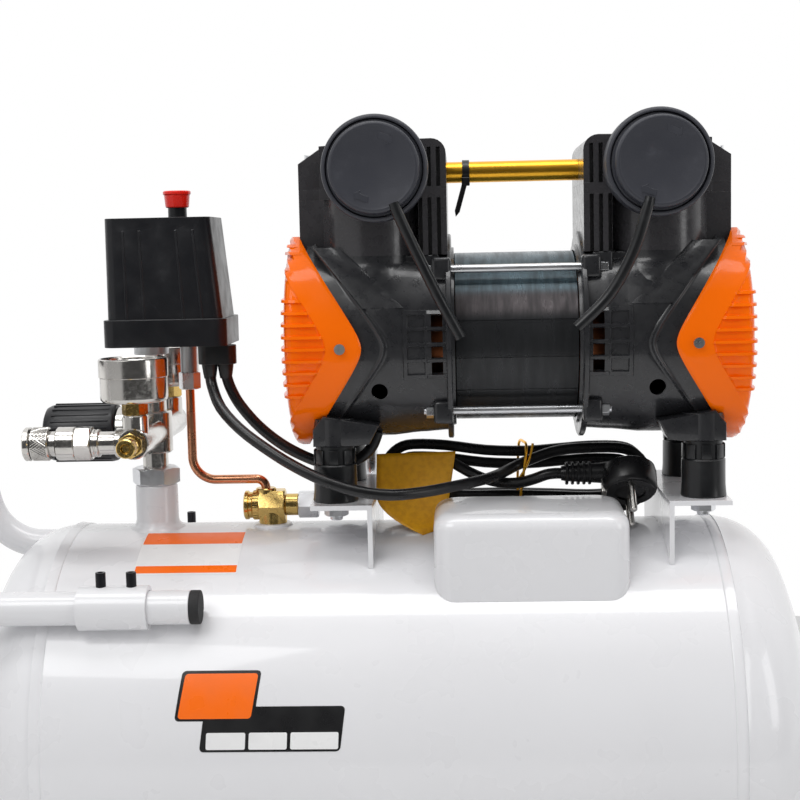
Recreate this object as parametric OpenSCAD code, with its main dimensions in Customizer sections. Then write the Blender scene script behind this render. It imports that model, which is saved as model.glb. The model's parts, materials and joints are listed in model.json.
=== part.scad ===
// Air compressor: a two-cylinder oil-free pump on a lying steel tank, with a
// pressure switch, an outlet manifold, a drag handle and two wheels.
// Millimetres. X runs along the tank (the wheels are at +X), Y points to the
// rear, Z is up. The origin is on the ground, under the middle of the whole
// object without its mains cord.

/* [Tank] */
// Outer radius of the tank
tank_r = 125; // [120:1:130]
// Overall length of the tank with its heads
tank_len = 525; // [515:5:600]
// Depth of each domed head
head_depth = 57; // [50:1:60]
// Steel thickness of the tank
tank_wall = 2.5; // [2:0.5:4]
// Knuckle radius of each head
head_knuckle = 40; // [34:1:44]

/* [Stand] */
// Radius of the tyres
tyre_r = 65; // [58:1:75]
// Width of a wheel
wheel_w = 30; // [24:1:36]
// Radius of the wheel axle
axle_r = 6; // [5:0.5:8]
// Height of the tank's underside above the wheel axle
axle_gap = 10; // [9:1:25]
// Wheel axle's distance from the middle of the tank
axle_x = 172; // [150:1:176]
// Front leg's distance from the middle of the tank
leg_x = 178; // [150:1:185]
// Sideways distance of each rubber foot from the middle
foot_y = 62; // [50:1:70]
// Plate thickness of the legs
leg_t = 3; // [2:0.5:4]

/* [Handle] */
// Outer radius of the handle tube
handle_r = 10; // [8:0.5:12]
// Wall of the handle tube
handle_wall = 1.5; // [1:0.25:2]
// Length of the rising side tubes between their bends
handle_rise = 100; // [60:5:160]
// Slope of the rising side tubes
handle_slope = 75; // [50:1:85]
// Bend radius of the handle tube
handle_bend = 40; // [32:1:50]
// Length of the rubber grip
grip_len = 90; // [60:1:100]

/* [Switch and outlet] */
// Distance of the riser pipe from the middle of the tank
riser_x = 151; // [149:0.5:156]
// Height of the riser socket above the tank
riser_h = 28; // [20:1:34]
// Height of the cross arm above the tank
arm_h = 62; // [58:0.5:64]
// Sideways distance of each gauge
gauge_y = 55; // [50:1:58]
// Radius of a gauge case
gauge_r = 20.4; // [18:0.2:21]
// Height of the pressure switch base above the tank
switch_h = 118; // [117:0.5:125]
// Length of the switch cover
switch_len = 72; // [70:1:76]
// Depth of the switch cover
switch_dep = 60; // [56:1:66]
// Height of the switch cover
switch_tall = 70; // [66:1:76]
// Bore radius of the coupler socket
socket_bore_r = 5.5; // [4.5:0.25:6]

/* [Pump] */
// Pump centre's distance from the middle of the tank
pump_x = 81; // [79:0.5:82]
// Height of the bracket flanges above the tank
bracket_h = 22.4; // [21:0.2:28]
// Height of a rubber mounting bush
bush_h = 34.6; // [33:0.2:40]
// Pump axis above its feet
foot_drop = 62.7; // [62.5:0.1:64]
// Outer radius of the stator
stator_r = 52.5; // [51.5:0.1:53.5]
// Half length of the stator
stator_half = 37.2; // [36.8:0.1:37.6]
// Outer radius of the end castings
casting_r = 63.5; // [63:0.1:64]
// Wall of the end castings
casting_wall = 4; // [3:0.25:4.5]
// Cylinder bore radius
bore_r = 31.8; // [30:0.1:33]
// Throw of each eccentric, half of the stroke
throw = 7; // [5:0.5:7]
// Shaft radius in the bearings
shaft_r = 7.45; // [7:0.05:7.5]
// Radius of the intake filter housings
filter_r = 31.2; // [30:0.1:33]
// Radius of the crossover tube
cross_r = 6.5; // [5.5:0.25:7.5]

/* [Electrics] */
// Radius of the mains cord and the motor cable
cord_r = 3.5; // [3.4:0.1:3.8]
// Length of the capacitor box
box_len = 116; // [100:1:116]
// Radius of the capacitor
cap_r = 12; // [9:0.5:12.5]

/* [Hidden] */
$fn = 96;

seat = 0.05;        // clearance of a fixed piece in its seat
run = 0.3;          // clearance beside a moving piece
WHITE = "white";
BLACK = [0.1, 0.1, 0.11];
ORANGE = [1, 0.42, 0.04];
BRASS = [0.72, 0.56, 0.25];
NICKEL = [0.72, 0.7, 0.68];
ZINC = [0.78, 0.79, 0.8];

// Places measured from the tank axis
axle_drop = tank_r + axle_gap;
tank_z = axle_drop + tyre_r;
half_len = tank_len / 2;
skirt_x = half_len - head_depth;
riser_top = tank_r + riser_h;
arm_z = tank_r + arm_h;
switch_z = tank_r + switch_h;
bracket_z = tank_r + bracket_h;
pump_z = bracket_z + bush_h + foot_drop;
outlet_x = -riser_x;

// Handle
socket_r = handle_r + 3;
socket_len = 41;
socket_mid = 158;                       // from the middle of the tank
handle_dist = tank_r + socket_r - 1;
handle_angle = 44;
handle_y = handle_dist * cos(handle_angle);
handle_z = handle_dist * sin(handle_angle);
handle_end = 113;                       // inner end of the tube
grip_t = 4;                             // thickness of the rubber grip
handle_bend_x = 255;                    // where the tube starts to rise
rise_top_x = handle_bend_x + handle_bend * sin(handle_slope)
    + (handle_rise + handle_bend) * cos(handle_slope);
reach_left = rise_top_x + handle_r + grip_t;
tank_x = (reach_left - half_len) / 2;

// Pump, measured from the pump axis and outward from its middle
cyl_x = 87.6;                           // cylinder axis
block_in = 40.9;                        // inner face of the cylinder blocks
block_out = 129.5;                      // outer face of the cylinder blocks
block_y = 45;                           // half width of the cylinder blocks
block_z = 52;                           // underside of the cylinder blocks
block_h = 34.3;
side_y = 24;                            // half width of a cylinder's outer end
step_x = 117;                           // where the outer end begins
fin_end = 58;                           // where the upright fins end
barrel_r = 31;                          // rounded front and back of a cylinder
bolt_sink = 9;                          // depth of the head bolt pockets
plate_z = block_z + block_h;
plate_t = 6.5;
head_z = plate_z + plate_t;
head_h = 28.5;
port_z = head_z + 9.9;                  // height of the intake and crossover ports
intake_x = 82.2;
foot_x = 112.2;
mount_y = 42;
rod_y = 41;
rod_z = 43;
web_x = 66;                             // bearing wall of a casting
bearing_r = 17.5;
bearing_in = 62;
bearing_w = 11;
piston_h = 10;
piston_top = plate_z - throw - 0.8;
fan_x = 119;
fan_r = 52;
cover_end = 141.7;
cover_screw_x = 105.7;
cover_wall = 3;
vee_z = -2.6;
vee_tip = 90;

// Switch and outlet, measured from the riser axis
bonnet_r = 13;
arm_end = gauge_y + 9.2;                // half length of the cross arm
cap_y = 81.6;                           // distance of the intake tubes from the axis
knob_x = 20;                            // switch knob from the riser axis
port_x = 24;                            // unloader port from the riser axis
gland_x = 45;                           // middle of the cable gland
gland_y = -16;
gland_gap = 10;                         // between the two cables
base_t = 10;
cover_mid = 16;                         // middle of the cover from the riser axis
valve_rise = 13;                        // check valve axis above the tank
valve_z = tank_r + valve_rise;
valve_x = 76;

// Wheels
wheel_y = 114 + wheel_w / 2;
leg_bracket_y = tank_r * 0.78;
rim_r = tyre_r - 17;

// ---------------------------------------------------------------- helpers
module on_tank() { translate([tank_x, 0, tank_z]) children(); }
module at_pump() { on_tank() translate([pump_x, 0, pump_z]) children(); }
module pump_side(side) { at_pump() if (side > 0) children(); else mirror([1, 0, 0]) children(); }
module both_sides() { for (side = [-1, 1]) pump_side(side) children(); }
module at_riser() { on_tank() translate([outlet_x, 0, 0]) children(); }

// Round bar from one point, l long, along X, Y or straight on
module bar_x(r, l, n = $fn) { rotate([0, 90, 0]) cylinder(r = r, h = l, $fn = n); }
module bar_y(r, l, n = $fn) { rotate([-90, 0, 0]) cylinder(r = r, h = l, $fn = n); }
// Profile of [radius, distance] points turned about X
module turned_x(points) { rotate([90, 0, 90]) rotate_extrude() polygon(points); }

// Box between two corners
module block(low, high) { translate(low) cube(high - low); }

// Points of an arc
function arc(cx, cy, r, from, to, n) =
    [for (i = [0 : n]) let (a = from + (to - from) * i / n) [cx + r * cos(a), cy + r * sin(a)]];

// Outline of a rectangle with round corners
function rounded(x0, y0, x1, y1, r) = concat(
    arc(x1 - r, y1 - r, r, 0, 90, 6), arc(x0 + r, y1 - r, r, 90, 180, 6),
    arc(x0 + r, y0 + r, r, 180, 270, 6), arc(x1 - r, y0 + r, r, 270, 360, 6));

// Bend of round bar: starts at the origin along +X and turns towards +Z
module bend(r, radius, angle) {
  translate([0, 0, radius]) rotate([90, 0, 0]) rotate([0, 0, -90])
    rotate_extrude(angle = angle) translate([radius, 0]) circle(r = r);
}

// A tube swept along points: a closed polyhedron with one ring on each point
function unit(v) = v / norm(v);
function side_of(t) = abs(t[2]) > 0.9 ? unit(cross(t, [0, 1, 0])) : unit(cross(t, [0, 0, 1]));
function along(p, i) = unit(p[min(i + 1, len(p) - 1)] - p[max(i - 1, 0)]);
// Side vectors carried from ring to ring, so that the tube doesn't twist
function carried(p, i = 0, u = undef) = i >= len(p) ? [] :
    let (t = along(p, i), v = i == 0 ? side_of(t) : unit(u - t * (u * t)))
    concat([v], carried(p, i + 1, v));
function tube_ring(c, t, u, r, n) = let (w = cross(t, u))
    [for (k = [0 : n - 1]) c + r * (u * cos(360 * k / n) + w * sin(360 * k / n))];
module swept(p, r, n = 8) {
  m = len(p);
  us = carried(p);
  points = [for (i = [0 : m - 1]) each tube_ring(p[i], along(p, i), us[i], r, n)];
  sides = [for (i = [0 : m - 2]) for (k = [0 : n - 1]) let (k2 = (k + 1) % n)
      [i * n + k, i * n + k2, (i + 1) * n + k2, (i + 1) * n + k]];
  ends = [[for (k = [n - 1 : -1 : 0]) k], [for (k = [0 : n - 1]) (m - 1) * n + k]];
  polyhedron(points, concat(sides, ends), convexity = 8);
}
// Smooth curve through route points: s pieces between each two
function curve_point(a, b, c, d, t) = 0.5 * (2 * b + (c - a) * t + (2 * a - 5 * b + 4 * c - d) * t * t
    + (3 * b - a - 3 * c + d) * t * t * t);
function smooth(p, s = 3) = let (m = len(p)) concat(
    [for (i = [0 : m - 2]) for (k = [0 : s - 1])
      curve_point(p[max(i - 1, 0)], p[i], p[i + 1], p[min(i + 2, m - 1)], k / s)], [p[m - 1]]);

// Keeps a welded or seated piece off the round of the tank
module clear_of_tank() {
  difference() {
    children();
    translate([-half_len, 0, 0]) bar_x(tank_r + seat, tank_len);
  }
}

// ------------------------------------------------------------------- tank
// Half of a tank outline: a straight shell, then a knuckle and a crown arc
function head_outline(r, x_end, depth, knuckle) =
    let (flat = r - knuckle,
         crown = (flat * flat + depth * depth - knuckle * knuckle) / (2 * (depth - knuckle)),
         split = atan2(flat, crown - depth),
         k0 = x_end - depth)
    concat(arc(flat, k0, knuckle, 0, 90 - split, 6),
           [for (i = [1 : 7]) let (a = split * (1 - i / 7))
              [crown * sin(a), x_end - crown + crown * cos(a)]]);
function tank_outline(r, x_end, depth, knuckle) =
    let (right = head_outline(r, x_end, depth, knuckle), n = len(right))
    concat([for (i = [n - 1 : -1 : 0]) [right[i][0], -right[i][1]]], right);

module tank() {
  color(WHITE) on_tank() {
    difference() {
      union() {
        turned_x(tank_outline(tank_r, half_len, head_depth, head_knuckle));
        for (side = [-1, 1]) translate([side * skirt_x - 2, 0, 0]) bar_x(tank_r + 0.8, 4);
        translate([outlet_x, 0, tank_r - 8]) cylinder(r = 13.5, h = riser_h + 8);
        translate([outlet_x, 0, tank_r - 3]) cylinder(r1 = 19, r2 = 13.5, h = 7);
        translate([-valve_x, 0, tank_r - 8]) cylinder(r = 12, h = 9.5);
        translate([0, 0, -tank_r - 12]) cylinder(r = 12, h = 20);
      }
      turned_x(tank_outline(tank_r - tank_wall, half_len - tank_wall,
        head_depth - tank_wall, head_knuckle - tank_wall));
      translate([outlet_x, 0, tank_r - 12]) cylinder(r = 8.2 + seat, h = riser_h + 13);
      translate([-valve_x, 0, tank_r - 12]) cylinder(r = 5, h = 15);
      translate([0, 0, -tank_r - 13]) cylinder(r = 6.3, h = 25);
    }
  }
}

// Sockets for the handle, welded to the shoulders of the tank
module handle_sockets() {
  color(WHITE) on_tank() clear_of_tank()
    for (side = [-1, 1]) translate([-socket_mid - socket_len / 2, side * handle_y, handle_z])
      difference() {
        bar_x(socket_r, socket_len);
        translate([-1, 0, 0]) bar_x(handle_r + run, socket_len + 2);
        for (x = [13, 31]) translate([x, 0, 0]) cylinder(r = 3 + seat, h = socket_r + 1);
      }
}

module socket_screws() {
  color(BLACK) on_tank() for (side = [-1, 1], x = [13, 31])
    translate([x - socket_mid - socket_len / 2, side * handle_y, handle_z + handle_r + run])
      difference() {
        cylinder(r = 3, h = socket_r - handle_r + 8);
        translate([0, 0, socket_r - handle_r + 5]) cylinder(r = 1.75, h = 4, $fn = 6);
      }
}

// ------------------------------------------------------------------ stand
foot_pad_z = -tank_z + 10;

module legs() {
  color(WHITE) on_tank() {
    clear_of_tank() {
      // Front leg: an upright plate with a flange for the rubber feet
      translate([-leg_x, 0, 0]) difference() {
        union() {
          block([-leg_t, -foot_y - 18, foot_pad_z], [0, foot_y + 18, -tank_r * 0.48]);
          block([-leg_t, -foot_y - 18, foot_pad_z], [36, foot_y + 18, foot_pad_z + leg_t]);
        }
        for (side = [-1, 1]) translate([18, side * foot_y, foot_pad_z - 1])
          cylinder(r = 4 + seat, h = leg_t + 2);
      }
      // Axle brackets
      bracket_top = axle_drop - tank_r * 0.58;
      for (side = [-1, 1]) translate([axle_x, side * leg_bracket_y, -axle_drop]) difference() {
        rotate([90, 0, 0]) translate([0, 0, -leg_t / 2]) linear_extrude(leg_t)
          polygon(concat(arc(0, 0, axle_r + 8, 180, 360, 16), [[28, bracket_top], [-28, bracket_top]]));
        translate([0, -leg_t, 0]) bar_y(axle_r + seat, 2 * leg_t);
      }
    }
  }
}

// Each foot has a stem that is held in the leg's flange
module rubber_feet() {
  color(BLACK) on_tank() for (side = [-1, 1]) translate([18 - leg_x, side * foot_y, -tank_z]) {
    cylinder(r1 = 14, r2 = 16, h = 10);
    translate([0, 0, 10]) cylinder(r = 4, h = leg_t);
    translate([0, 0, 10 + leg_t]) cylinder(r = 7, h = 3);
  }
}

// Axle with a washer on each side of each wheel and a split pin outside
module wheel_axle() {
  inner = leg_bracket_y + leg_t / 2;
  outer = wheel_y + wheel_w / 2;
  color(ZINC) on_tank() translate([axle_x, 0, -axle_drop]) {
    translate([0, -outer - 9, 0]) bar_y(axle_r, 2 * outer + 18);
    for (side = [-1, 1]) mirror([0, side < 0 ? 1 : 0, 0]) {
      translate([0, inner, 0]) bar_y(axle_r + 4, wheel_y - wheel_w / 2 - inner - run);
      translate([0, outer + run, 0]) bar_y(axle_r + 7, 2);
      translate([0, outer + 5, -axle_r - 5]) cylinder(r = 1.5, h = 2 * axle_r + 10);
    }
  }
}

module wheel_hub(side) {
  on_tank() translate([axle_x, side * wheel_y - wheel_w / 2, -axle_drop]) difference() {
    union() {
      bar_y(15, wheel_w);
      translate([0, wheel_w / 2 - 3, 0]) bar_y(rim_r - 4, 6);
      difference() {
        translate([0, 3, 0]) bar_y(rim_r, wheel_w - 6);
        translate([0, 2, 0]) bar_y(rim_r - 5, wheel_w);
      }
      for (a = [0 : 60 : 300]) rotate([0, a, 0]) block([-2, 6, 12], [2, wheel_w - 6, rim_r - 4]);
    }
    translate([0, -1, 0]) bar_y(axle_r + 0.06, wheel_w + 2);
  }
}

module wheel_tyre(side) {
  half = wheel_w / 2;
  on_tank() translate([axle_x, side * wheel_y, -axle_drop]) rotate([90, 0, 0]) rotate_extrude()
    polygon(concat([[rim_r + seat, half - 3], [rim_r + seat, 3 - half]],
      [[rim_r + 6, -half], [tyre_r - 5, 2 - half]], arc(tyre_r - 5, 7 - half, 5, -60, 0, 3),
      arc(tyre_r - 5, half - 7, 5, 0, 60, 3), [[tyre_r - 5, half - 2], [rim_r + 6, half]]));
}

module near_wheel() { color(ORANGE) wheel_hub(-1); }
module far_wheel() { color(ORANGE) wheel_hub(1); }
module near_tyre() { color(BLACK) wheel_tyre(-1); }
module far_tyre() { color(BLACK) wheel_tyre(1); }

// ----------------------------------------------------------------- handle
// One side of the handle: straight, bend up, rise, bend inward, half of the cross tube
module handle_side() {
  rotate([0, 0, 180]) {
    tube_x(handle_bend_x - handle_end);
    translate([handle_bend_x - handle_end, 0, 0]) {
      tube_bend(handle_slope);
      after_bend(handle_slope) {
        tube_x(handle_rise);
        translate([handle_rise, 0, 0]) rotate([90, 0, 0]) {
          tube_bend(90);
          after_bend(90) tube_x(handle_y - handle_bend);
        }
      }
    }
  }
}
module tube_x(l) { rotate([0, 90, 0]) linear_extrude(l) tube_section(); }
module tube_section() {
  difference() {
    circle(r = handle_r);
    circle(r = handle_r - handle_wall);
  }
}
// Bend of tube: starts at the origin along +X and turns towards +Z
module tube_bend(angle) {
  translate([0, 0, handle_bend]) rotate([90, 0, 0]) rotate([0, 0, -90])
    rotate_extrude(angle = angle) translate([handle_bend, 0]) tube_section();
}
// Places children at the far end of a bend
module after_bend(angle) {
  translate([0, 0, handle_bend]) rotate([0, -angle, 0]) translate([0, 0, -handle_bend]) children();
}
grip_z = handle_z + handle_bend * (1 - cos(handle_slope)) + (handle_rise + handle_bend) * sin(handle_slope);

module handle() {
  color(WHITE) on_tank() {
    translate([-handle_end, handle_y, handle_z]) mirror([0, 1, 0]) handle_side();
    translate([-handle_end, -handle_y, handle_z]) handle_side();
  }
}

// Rubber grip on the cross tube, and a plug in each open end of the tube
module handle_grip() {
  color(BLACK) on_tank() {
    translate([-rise_top_x, -grip_len / 2, grip_z]) difference() {
      bar_y(handle_r + grip_t, grip_len);
      translate([0, -1, 0]) bar_y(handle_r + seat, grip_len + 2);
    }
    for (side = [-1, 1]) translate([-handle_end, side * handle_y, handle_z]) {
      bar_x(handle_r, 6);
      translate([-14, 0, 0]) bar_x(handle_r - handle_wall - seat, 15);
    }
  }
}

// ------------------------------------------------------- outlet and gauges
module manifold() {
  color(NICKEL) at_riser() difference() {
    union() {
      translate([0, 0, tank_r + 5]) cylinder(r = 8.2, h = switch_h);
      translate([0, -arm_end, arm_z]) bar_y(9.5, 2 * arm_end);
      translate([0, arm_end, arm_z]) sphere(r = 9.5);
      block([-12, -12, arm_z - 12], [12, 12, arm_z + 12]);
      for (side = [-1, 1]) translate([0, side * gauge_y, arm_z]) cylinder(r = 8, h = 17);
      translate([-12, -gauge_y, arm_z]) bar_x(9, 12);
      translate([-23, 0, arm_z]) bar_x(16, 12);
      translate([-54, 0, arm_z]) bar_x(bonnet_r, 32);
    }
    translate([0, 0, tank_r + 4]) cylinder(r = 5, h = switch_h + 4);
    translate([0, -arm_end - 1, arm_z]) bar_y(5, 2 * arm_end - 4);
  }
}

// Hexagon nuts: on the riser, at both ends of the unloader tube, on the discharge
module pipe_nuts() {
  color(ZINC) on_tank() {
    translate([outlet_x, 0, riser_top]) nut(15.6, 8.2 + seat, 12);
    translate([outlet_x + port_x, 0, switch_z - 29]) nut(7, 2.9 + seat, 11);
    translate([17 - valve_x, 0, valve_z]) rotate([0, 90, 0]) nut(9.2, 4.5 + seat, 13);
  }
}
module nut(r, hole, h) {
  difference() {
    cylinder(r = r, h = h, $fn = 6);
    translate([0, 0, -1]) cylinder(r = hole, h = h + 2);
  }
}

gauge_z = arm_z + 25;
gauge_tall = 26.5;
dial_z = gauge_z + 17.5;
module gauge_case() {
  translate([0, 0, arm_z + 17]) cylinder(r = 8, h = 8, $fn = 6);
  difference() {
    union() {
      translate([0, 0, gauge_z]) cylinder(r = gauge_r, h = gauge_tall);
      translate([0, 0, gauge_z + gauge_tall - 11]) cylinder(r = gauge_r + 0.6, h = 11);
    }
    translate([0, 0, dial_z]) cylinder(r = gauge_r - 1.6, h = gauge_tall);
    translate([0, 0, gauge_z + 2]) cylinder(r = gauge_r - 1.6, h = dial_z - gauge_z - 3);
  }
  translate([0, 0, dial_z - 1]) cylinder(r = 1, h = 3.6);
}
module gauge_cases() {
  color("silver") at_riser() for (side = [-1, 1]) translate([0, side * gauge_y, 0]) gauge_case();
}
module gauge_lenses() {
  color("lightblue", 0.4) at_riser() for (side = [-1, 1])
    translate([0, side * gauge_y, gauge_z + gauge_tall - 3]) cylinder(r = gauge_r - 1.6 - seat, h = 1.6);
}
// The needle lies at the zero mark, towards the front left
module gauge_needle(side) {
  color("black") at_riser() translate([0, side * gauge_y, dial_z + 0.8]) difference() {
    union() {
      cylinder(r = 2.6, h = 1.4);
      rotate([0, 0, -135]) block([-4, -0.7, 0], [gauge_r - 6, 0.7, 0.8]);
    }
    translate([0, 0, -1]) cylinder(r = 1.06, h = 4);
  }
}
module tank_gauge_needle() { gauge_needle(1); }
module outlet_gauge_needle() { gauge_needle(-1); }

module safety_valve_body() {
  color(BRASS) at_riser() translate([0, -arm_end, arm_z]) rotate([90, 0, 0]) difference() {
    union() {
      cylinder(r = 8, h = 8, $fn = 6);
      cylinder(r = 5.8, h = 21);
    }
    translate([0, 0, 8]) cylinder(r = 2.7, h = 14);
  }
}
module safety_valve_stem() {
  color(BRASS) at_riser() translate([0, -arm_end - 9, arm_z]) rotate([90, 0, 0])
    cylinder(r = 2.4, h = 10.5);
}

// Quick coupler, from the manifold boss outwards along -X
coupler_in = 12;
module coupler_body() {
  color(NICKEL) at_riser() translate([-coupler_in, -gauge_y, arm_z]) rotate([0, 180, 0]) difference() {
    union() {
      bar_x(7, 12);
      translate([10, 0, 0]) bar_x(8.5, 5);
      translate([14.5, 0, 0]) bar_x(11.2, 10, 6);
      translate([24, 0, 0]) bar_x(10.2, 12);
      translate([35, 0, 0]) bar_x(7.6, 20);
      translate([52, 0, 0]) bar_x(10.3, 4);
    }
    translate([20, 0, 0]) bar_x(socket_bore_r, 40);
    translate([-1, 0, 0]) bar_x(3.5, 25);
  }
}
module coupler_sleeve() {
  color("silver") at_riser() translate([-coupler_in, -gauge_y, arm_z]) rotate([0, 180, 0]) difference() {
    translate([40.3, 0, 0]) bar_x(10.3, 11.4);
    translate([39, 0, 0]) bar_x(7.66, 14);
  }
}
module regulator_knob() {
  color(BLACK) at_riser() translate([0, 0, arm_z]) rotate([0, 180, 0]) difference() {
    union() {
      translate([23.3, 0, 0]) bar_x(18.6, 46);
      for (a = [0 : 15 : 345]) rotate([a, 0, 0]) block([24, -0.9, 15], [66, 0.9, 19.2]);
    }
    translate([22, 0, 0]) bar_x(bonnet_r + run, 33);
  }
}

// --------------------------------------------------------- pressure switch
function switch_box(inset) = rounded(cover_mid - switch_len / 2 + inset, -switch_dep / 2 + inset,
    cover_mid + switch_len / 2 - inset, switch_dep / 2 - inset, 7 - inset / 2);

module switch_base() {
  color([0.6, 0.6, 0.6]) at_riser() translate([0, 0, switch_z]) difference() {
    union() {
      linear_extrude(base_t) polygon(switch_box(4 + seat));
      translate([0, 0, -6]) cylinder(r = 11, h = 8);
      translate([port_x, 0, -18]) cylinder(r = 5.5, h = 20);
      block([-12, -20, base_t - 1], [44, 20, switch_tall - 36]);
    }
    translate([0, 0, -7]) cylinder(r = 8.2 + seat, h = 13);
    translate([port_x, 0, -19]) cylinder(r = 2, h = 20);
  }
}

cover_h = base_t + switch_tall;
cover_top = switch_z + cover_h;
module switch_cover() {
  lip = 17;
  color(BLACK) at_riser() translate([0, 0, switch_z]) difference() {
    union() {
      linear_extrude(lip) polygon(switch_box(-1));
      linear_extrude(cover_h) polygon(switch_box(1.5));
      for (x = [-12, -1.5, 22, 33]) translate([cover_mid - 10 + x, 0, 0])
        block([-0.6, -switch_dep / 2 + 0.9, lip], [0.6, -switch_dep / 2 + 3, cover_h - 8]);
    }
    translate([0, 0, -1]) linear_extrude(cover_h - 1.5) polygon(switch_box(4));
    translate([knob_x, 0, 0]) cylinder(r = 6.3, h = cover_h + 1);
  }
}
module switch_knob() {
  color("red") at_riser() translate([knob_x, 0, cover_top]) {
    translate([0, 0, -25]) cylinder(r = 5.9, h = 32);
    translate([0, 0, 6.5]) cylinder(r = 8.8, h = 3.5);
    translate([0, 0, 10]) cylinder(r1 = 8.2, r2 = 7.2, h = 7);
  }
}

module cable_gland() {
  color(BLACK) at_riser() translate([gland_x, gland_y, switch_z - 12]) difference() {
    linear_extrude(12) polygon(rounded(-gland_gap / 2 - 7, -7, gland_gap / 2 + 7, 7, 6.5));
    for (side = [-1, 1]) translate([side * gland_gap / 2, 0, -1]) cylinder(r = cord_r + seat, h = 6);
  }
}

// ---------------------------------------------------- check valve and pipes
module check_valve() {
  color(BRASS) on_tank() translate([-valve_x, 0, valve_z]) difference() {
    union() {
      translate([-18, 0, 0]) bar_x(9.5, 11);
      translate([-8.5, 0, 0]) rotate([30, 0, 0]) bar_x(11.2, 17, 6);
      translate([8, 0, 0]) bar_x(7, 9);
      translate([0, 0, 1.5 - valve_rise]) cylinder(r = 9, h = valve_rise - 2);
    }
    translate([-14, 0, 0]) bar_x(4.5, 40);
    translate([0, 0, 1 - valve_rise]) cylinder(r = 4.5, h = valve_rise);
    translate([-4, 0, 2]) cylinder(r = 2.9 + seat, h = 14);
  }
}

unloader_run_z = tank_r + 30;
unloader_end_r = 6;                     // bend above the check valve
unloader_in_x = outlet_x + port_x;
unloader_out_x = -valve_x - 4;
module unloader_tube() {
  r = 2.9;
  top = switch_z - 18;
  color([0.75, 0.42, 0.28]) on_tank() {
    translate([unloader_in_x, 0, unloader_run_z + 15]) cylinder(r = r, h = top - unloader_run_z - 15);
    translate([unloader_in_x + 15, 0, unloader_run_z]) mirror([1, 0, 0]) bend(r, 15, 90);
    translate([unloader_in_x + 15, 0, unloader_run_z])
      bar_x(r, unloader_out_x - unloader_end_r - unloader_in_x - 15);
    translate([unloader_out_x - unloader_end_r, 0, unloader_run_z]) mirror([0, 0, 1])
      bend(r, unloader_end_r, 90);
    translate([unloader_out_x, 0, valve_z + 5])
      cylinder(r = r, h = unloader_run_z - unloader_end_r - valve_z - 5);
  }
}

// Discharge pipe: from the check valve under the bracket, behind the pump, up
// to the rear of the left cylinder head
discharge_x = -17;
discharge_y = 86;
module discharge_pipe() {
  r = 4.5;
  bend_r = 18;
  top_z = pump_z + head_z + 17;
  color(ZINC) on_tank() {
    translate([16 - valve_x + 1.2, 0, valve_z]) bar_x(r, discharge_x - bend_r - 17.2 + valve_x);
    translate([discharge_x - bend_r, 0, valve_z]) rotate([-90, 0, 0]) bend(r, bend_r, 90);
    translate([discharge_x, bend_r, valve_z]) bar_y(r, discharge_y - 2 * bend_r);
    translate([discharge_x, discharge_y - bend_r, valve_z]) rotate([0, 0, 90]) bend(r, bend_r, 90);
    translate([discharge_x, discharge_y, valve_z + bend_r])
      cylinder(r = r, h = top_z - valve_z - 2 * bend_r);
    translate([discharge_x, discharge_y - bend_r, top_z]) rotate([0, 0, 90]) mirror([0, 0, 1])
      bend(r, bend_r, 90);
    translate([discharge_x, block_y - 4, top_z]) bar_y(r, discharge_y - bend_r - block_y + 4);
  }
}

// -------------------------------------------------------------- pump mounts
module pump_brackets() {
  wide = 62;
  t = 3;
  web = 92;
  flange = 126.5;
  color(WHITE) clear_of_tank_at_pump(wide) for (side = [-1, 1])
    mirror([side < 0 ? 1 : 0, 0, 0]) difference() {
      union() {
        block([web - t, -wide, -60], [web, wide, 0]);
        block([web - t, -wide, -t], [flange, wide, 0]);
      }
      for (y = [-mount_y, mount_y]) translate([foot_x, y, -t - 1]) cylinder(r = 4 + seat, h = t + 2);
    }
}
// Places children on the bracket flanges and cuts them to the tank's round
module clear_of_tank_at_pump(wide) {
  on_tank() clear_of_tank() translate([pump_x, 0, bracket_z]) intersection() {
    children();
    block([-200, -wide, -tank_r], [200, wide, 1]);
  }
}

module at_mounts() {
  both_sides() for (y = [-mount_y, mount_y]) translate([foot_x, y, -foot_drop]) children();
}
module mounting_bushes() {
  color(BLACK) at_mounts() translate([0, 0, -bush_h]) difference() {
    union() {
      cylinder(r = 12.5, h = bush_h);
      translate([0, 0, bush_h - 12]) cylinder(r = 14, h = 5);
    }
    translate([0, 0, -1]) cylinder(r = 4 + seat, h = bush_h + 2);
    for (a = [0 : 45 : 315]) rotate([0, 0, a]) block([13, -1.5, bush_h - 13], [16, 1.5, bush_h - 6]);
  }
}
module mounting_bolts() {
  color(ZINC) at_mounts() translate([0, 0, -bush_h - 3]) {
    translate([0, 0, -6.5]) cylinder(r = 7.5, h = 6.5, $fn = 6);
    translate([0, 0, -9]) cylinder(r = 4, h = bush_h + 24);
  }
}

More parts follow.
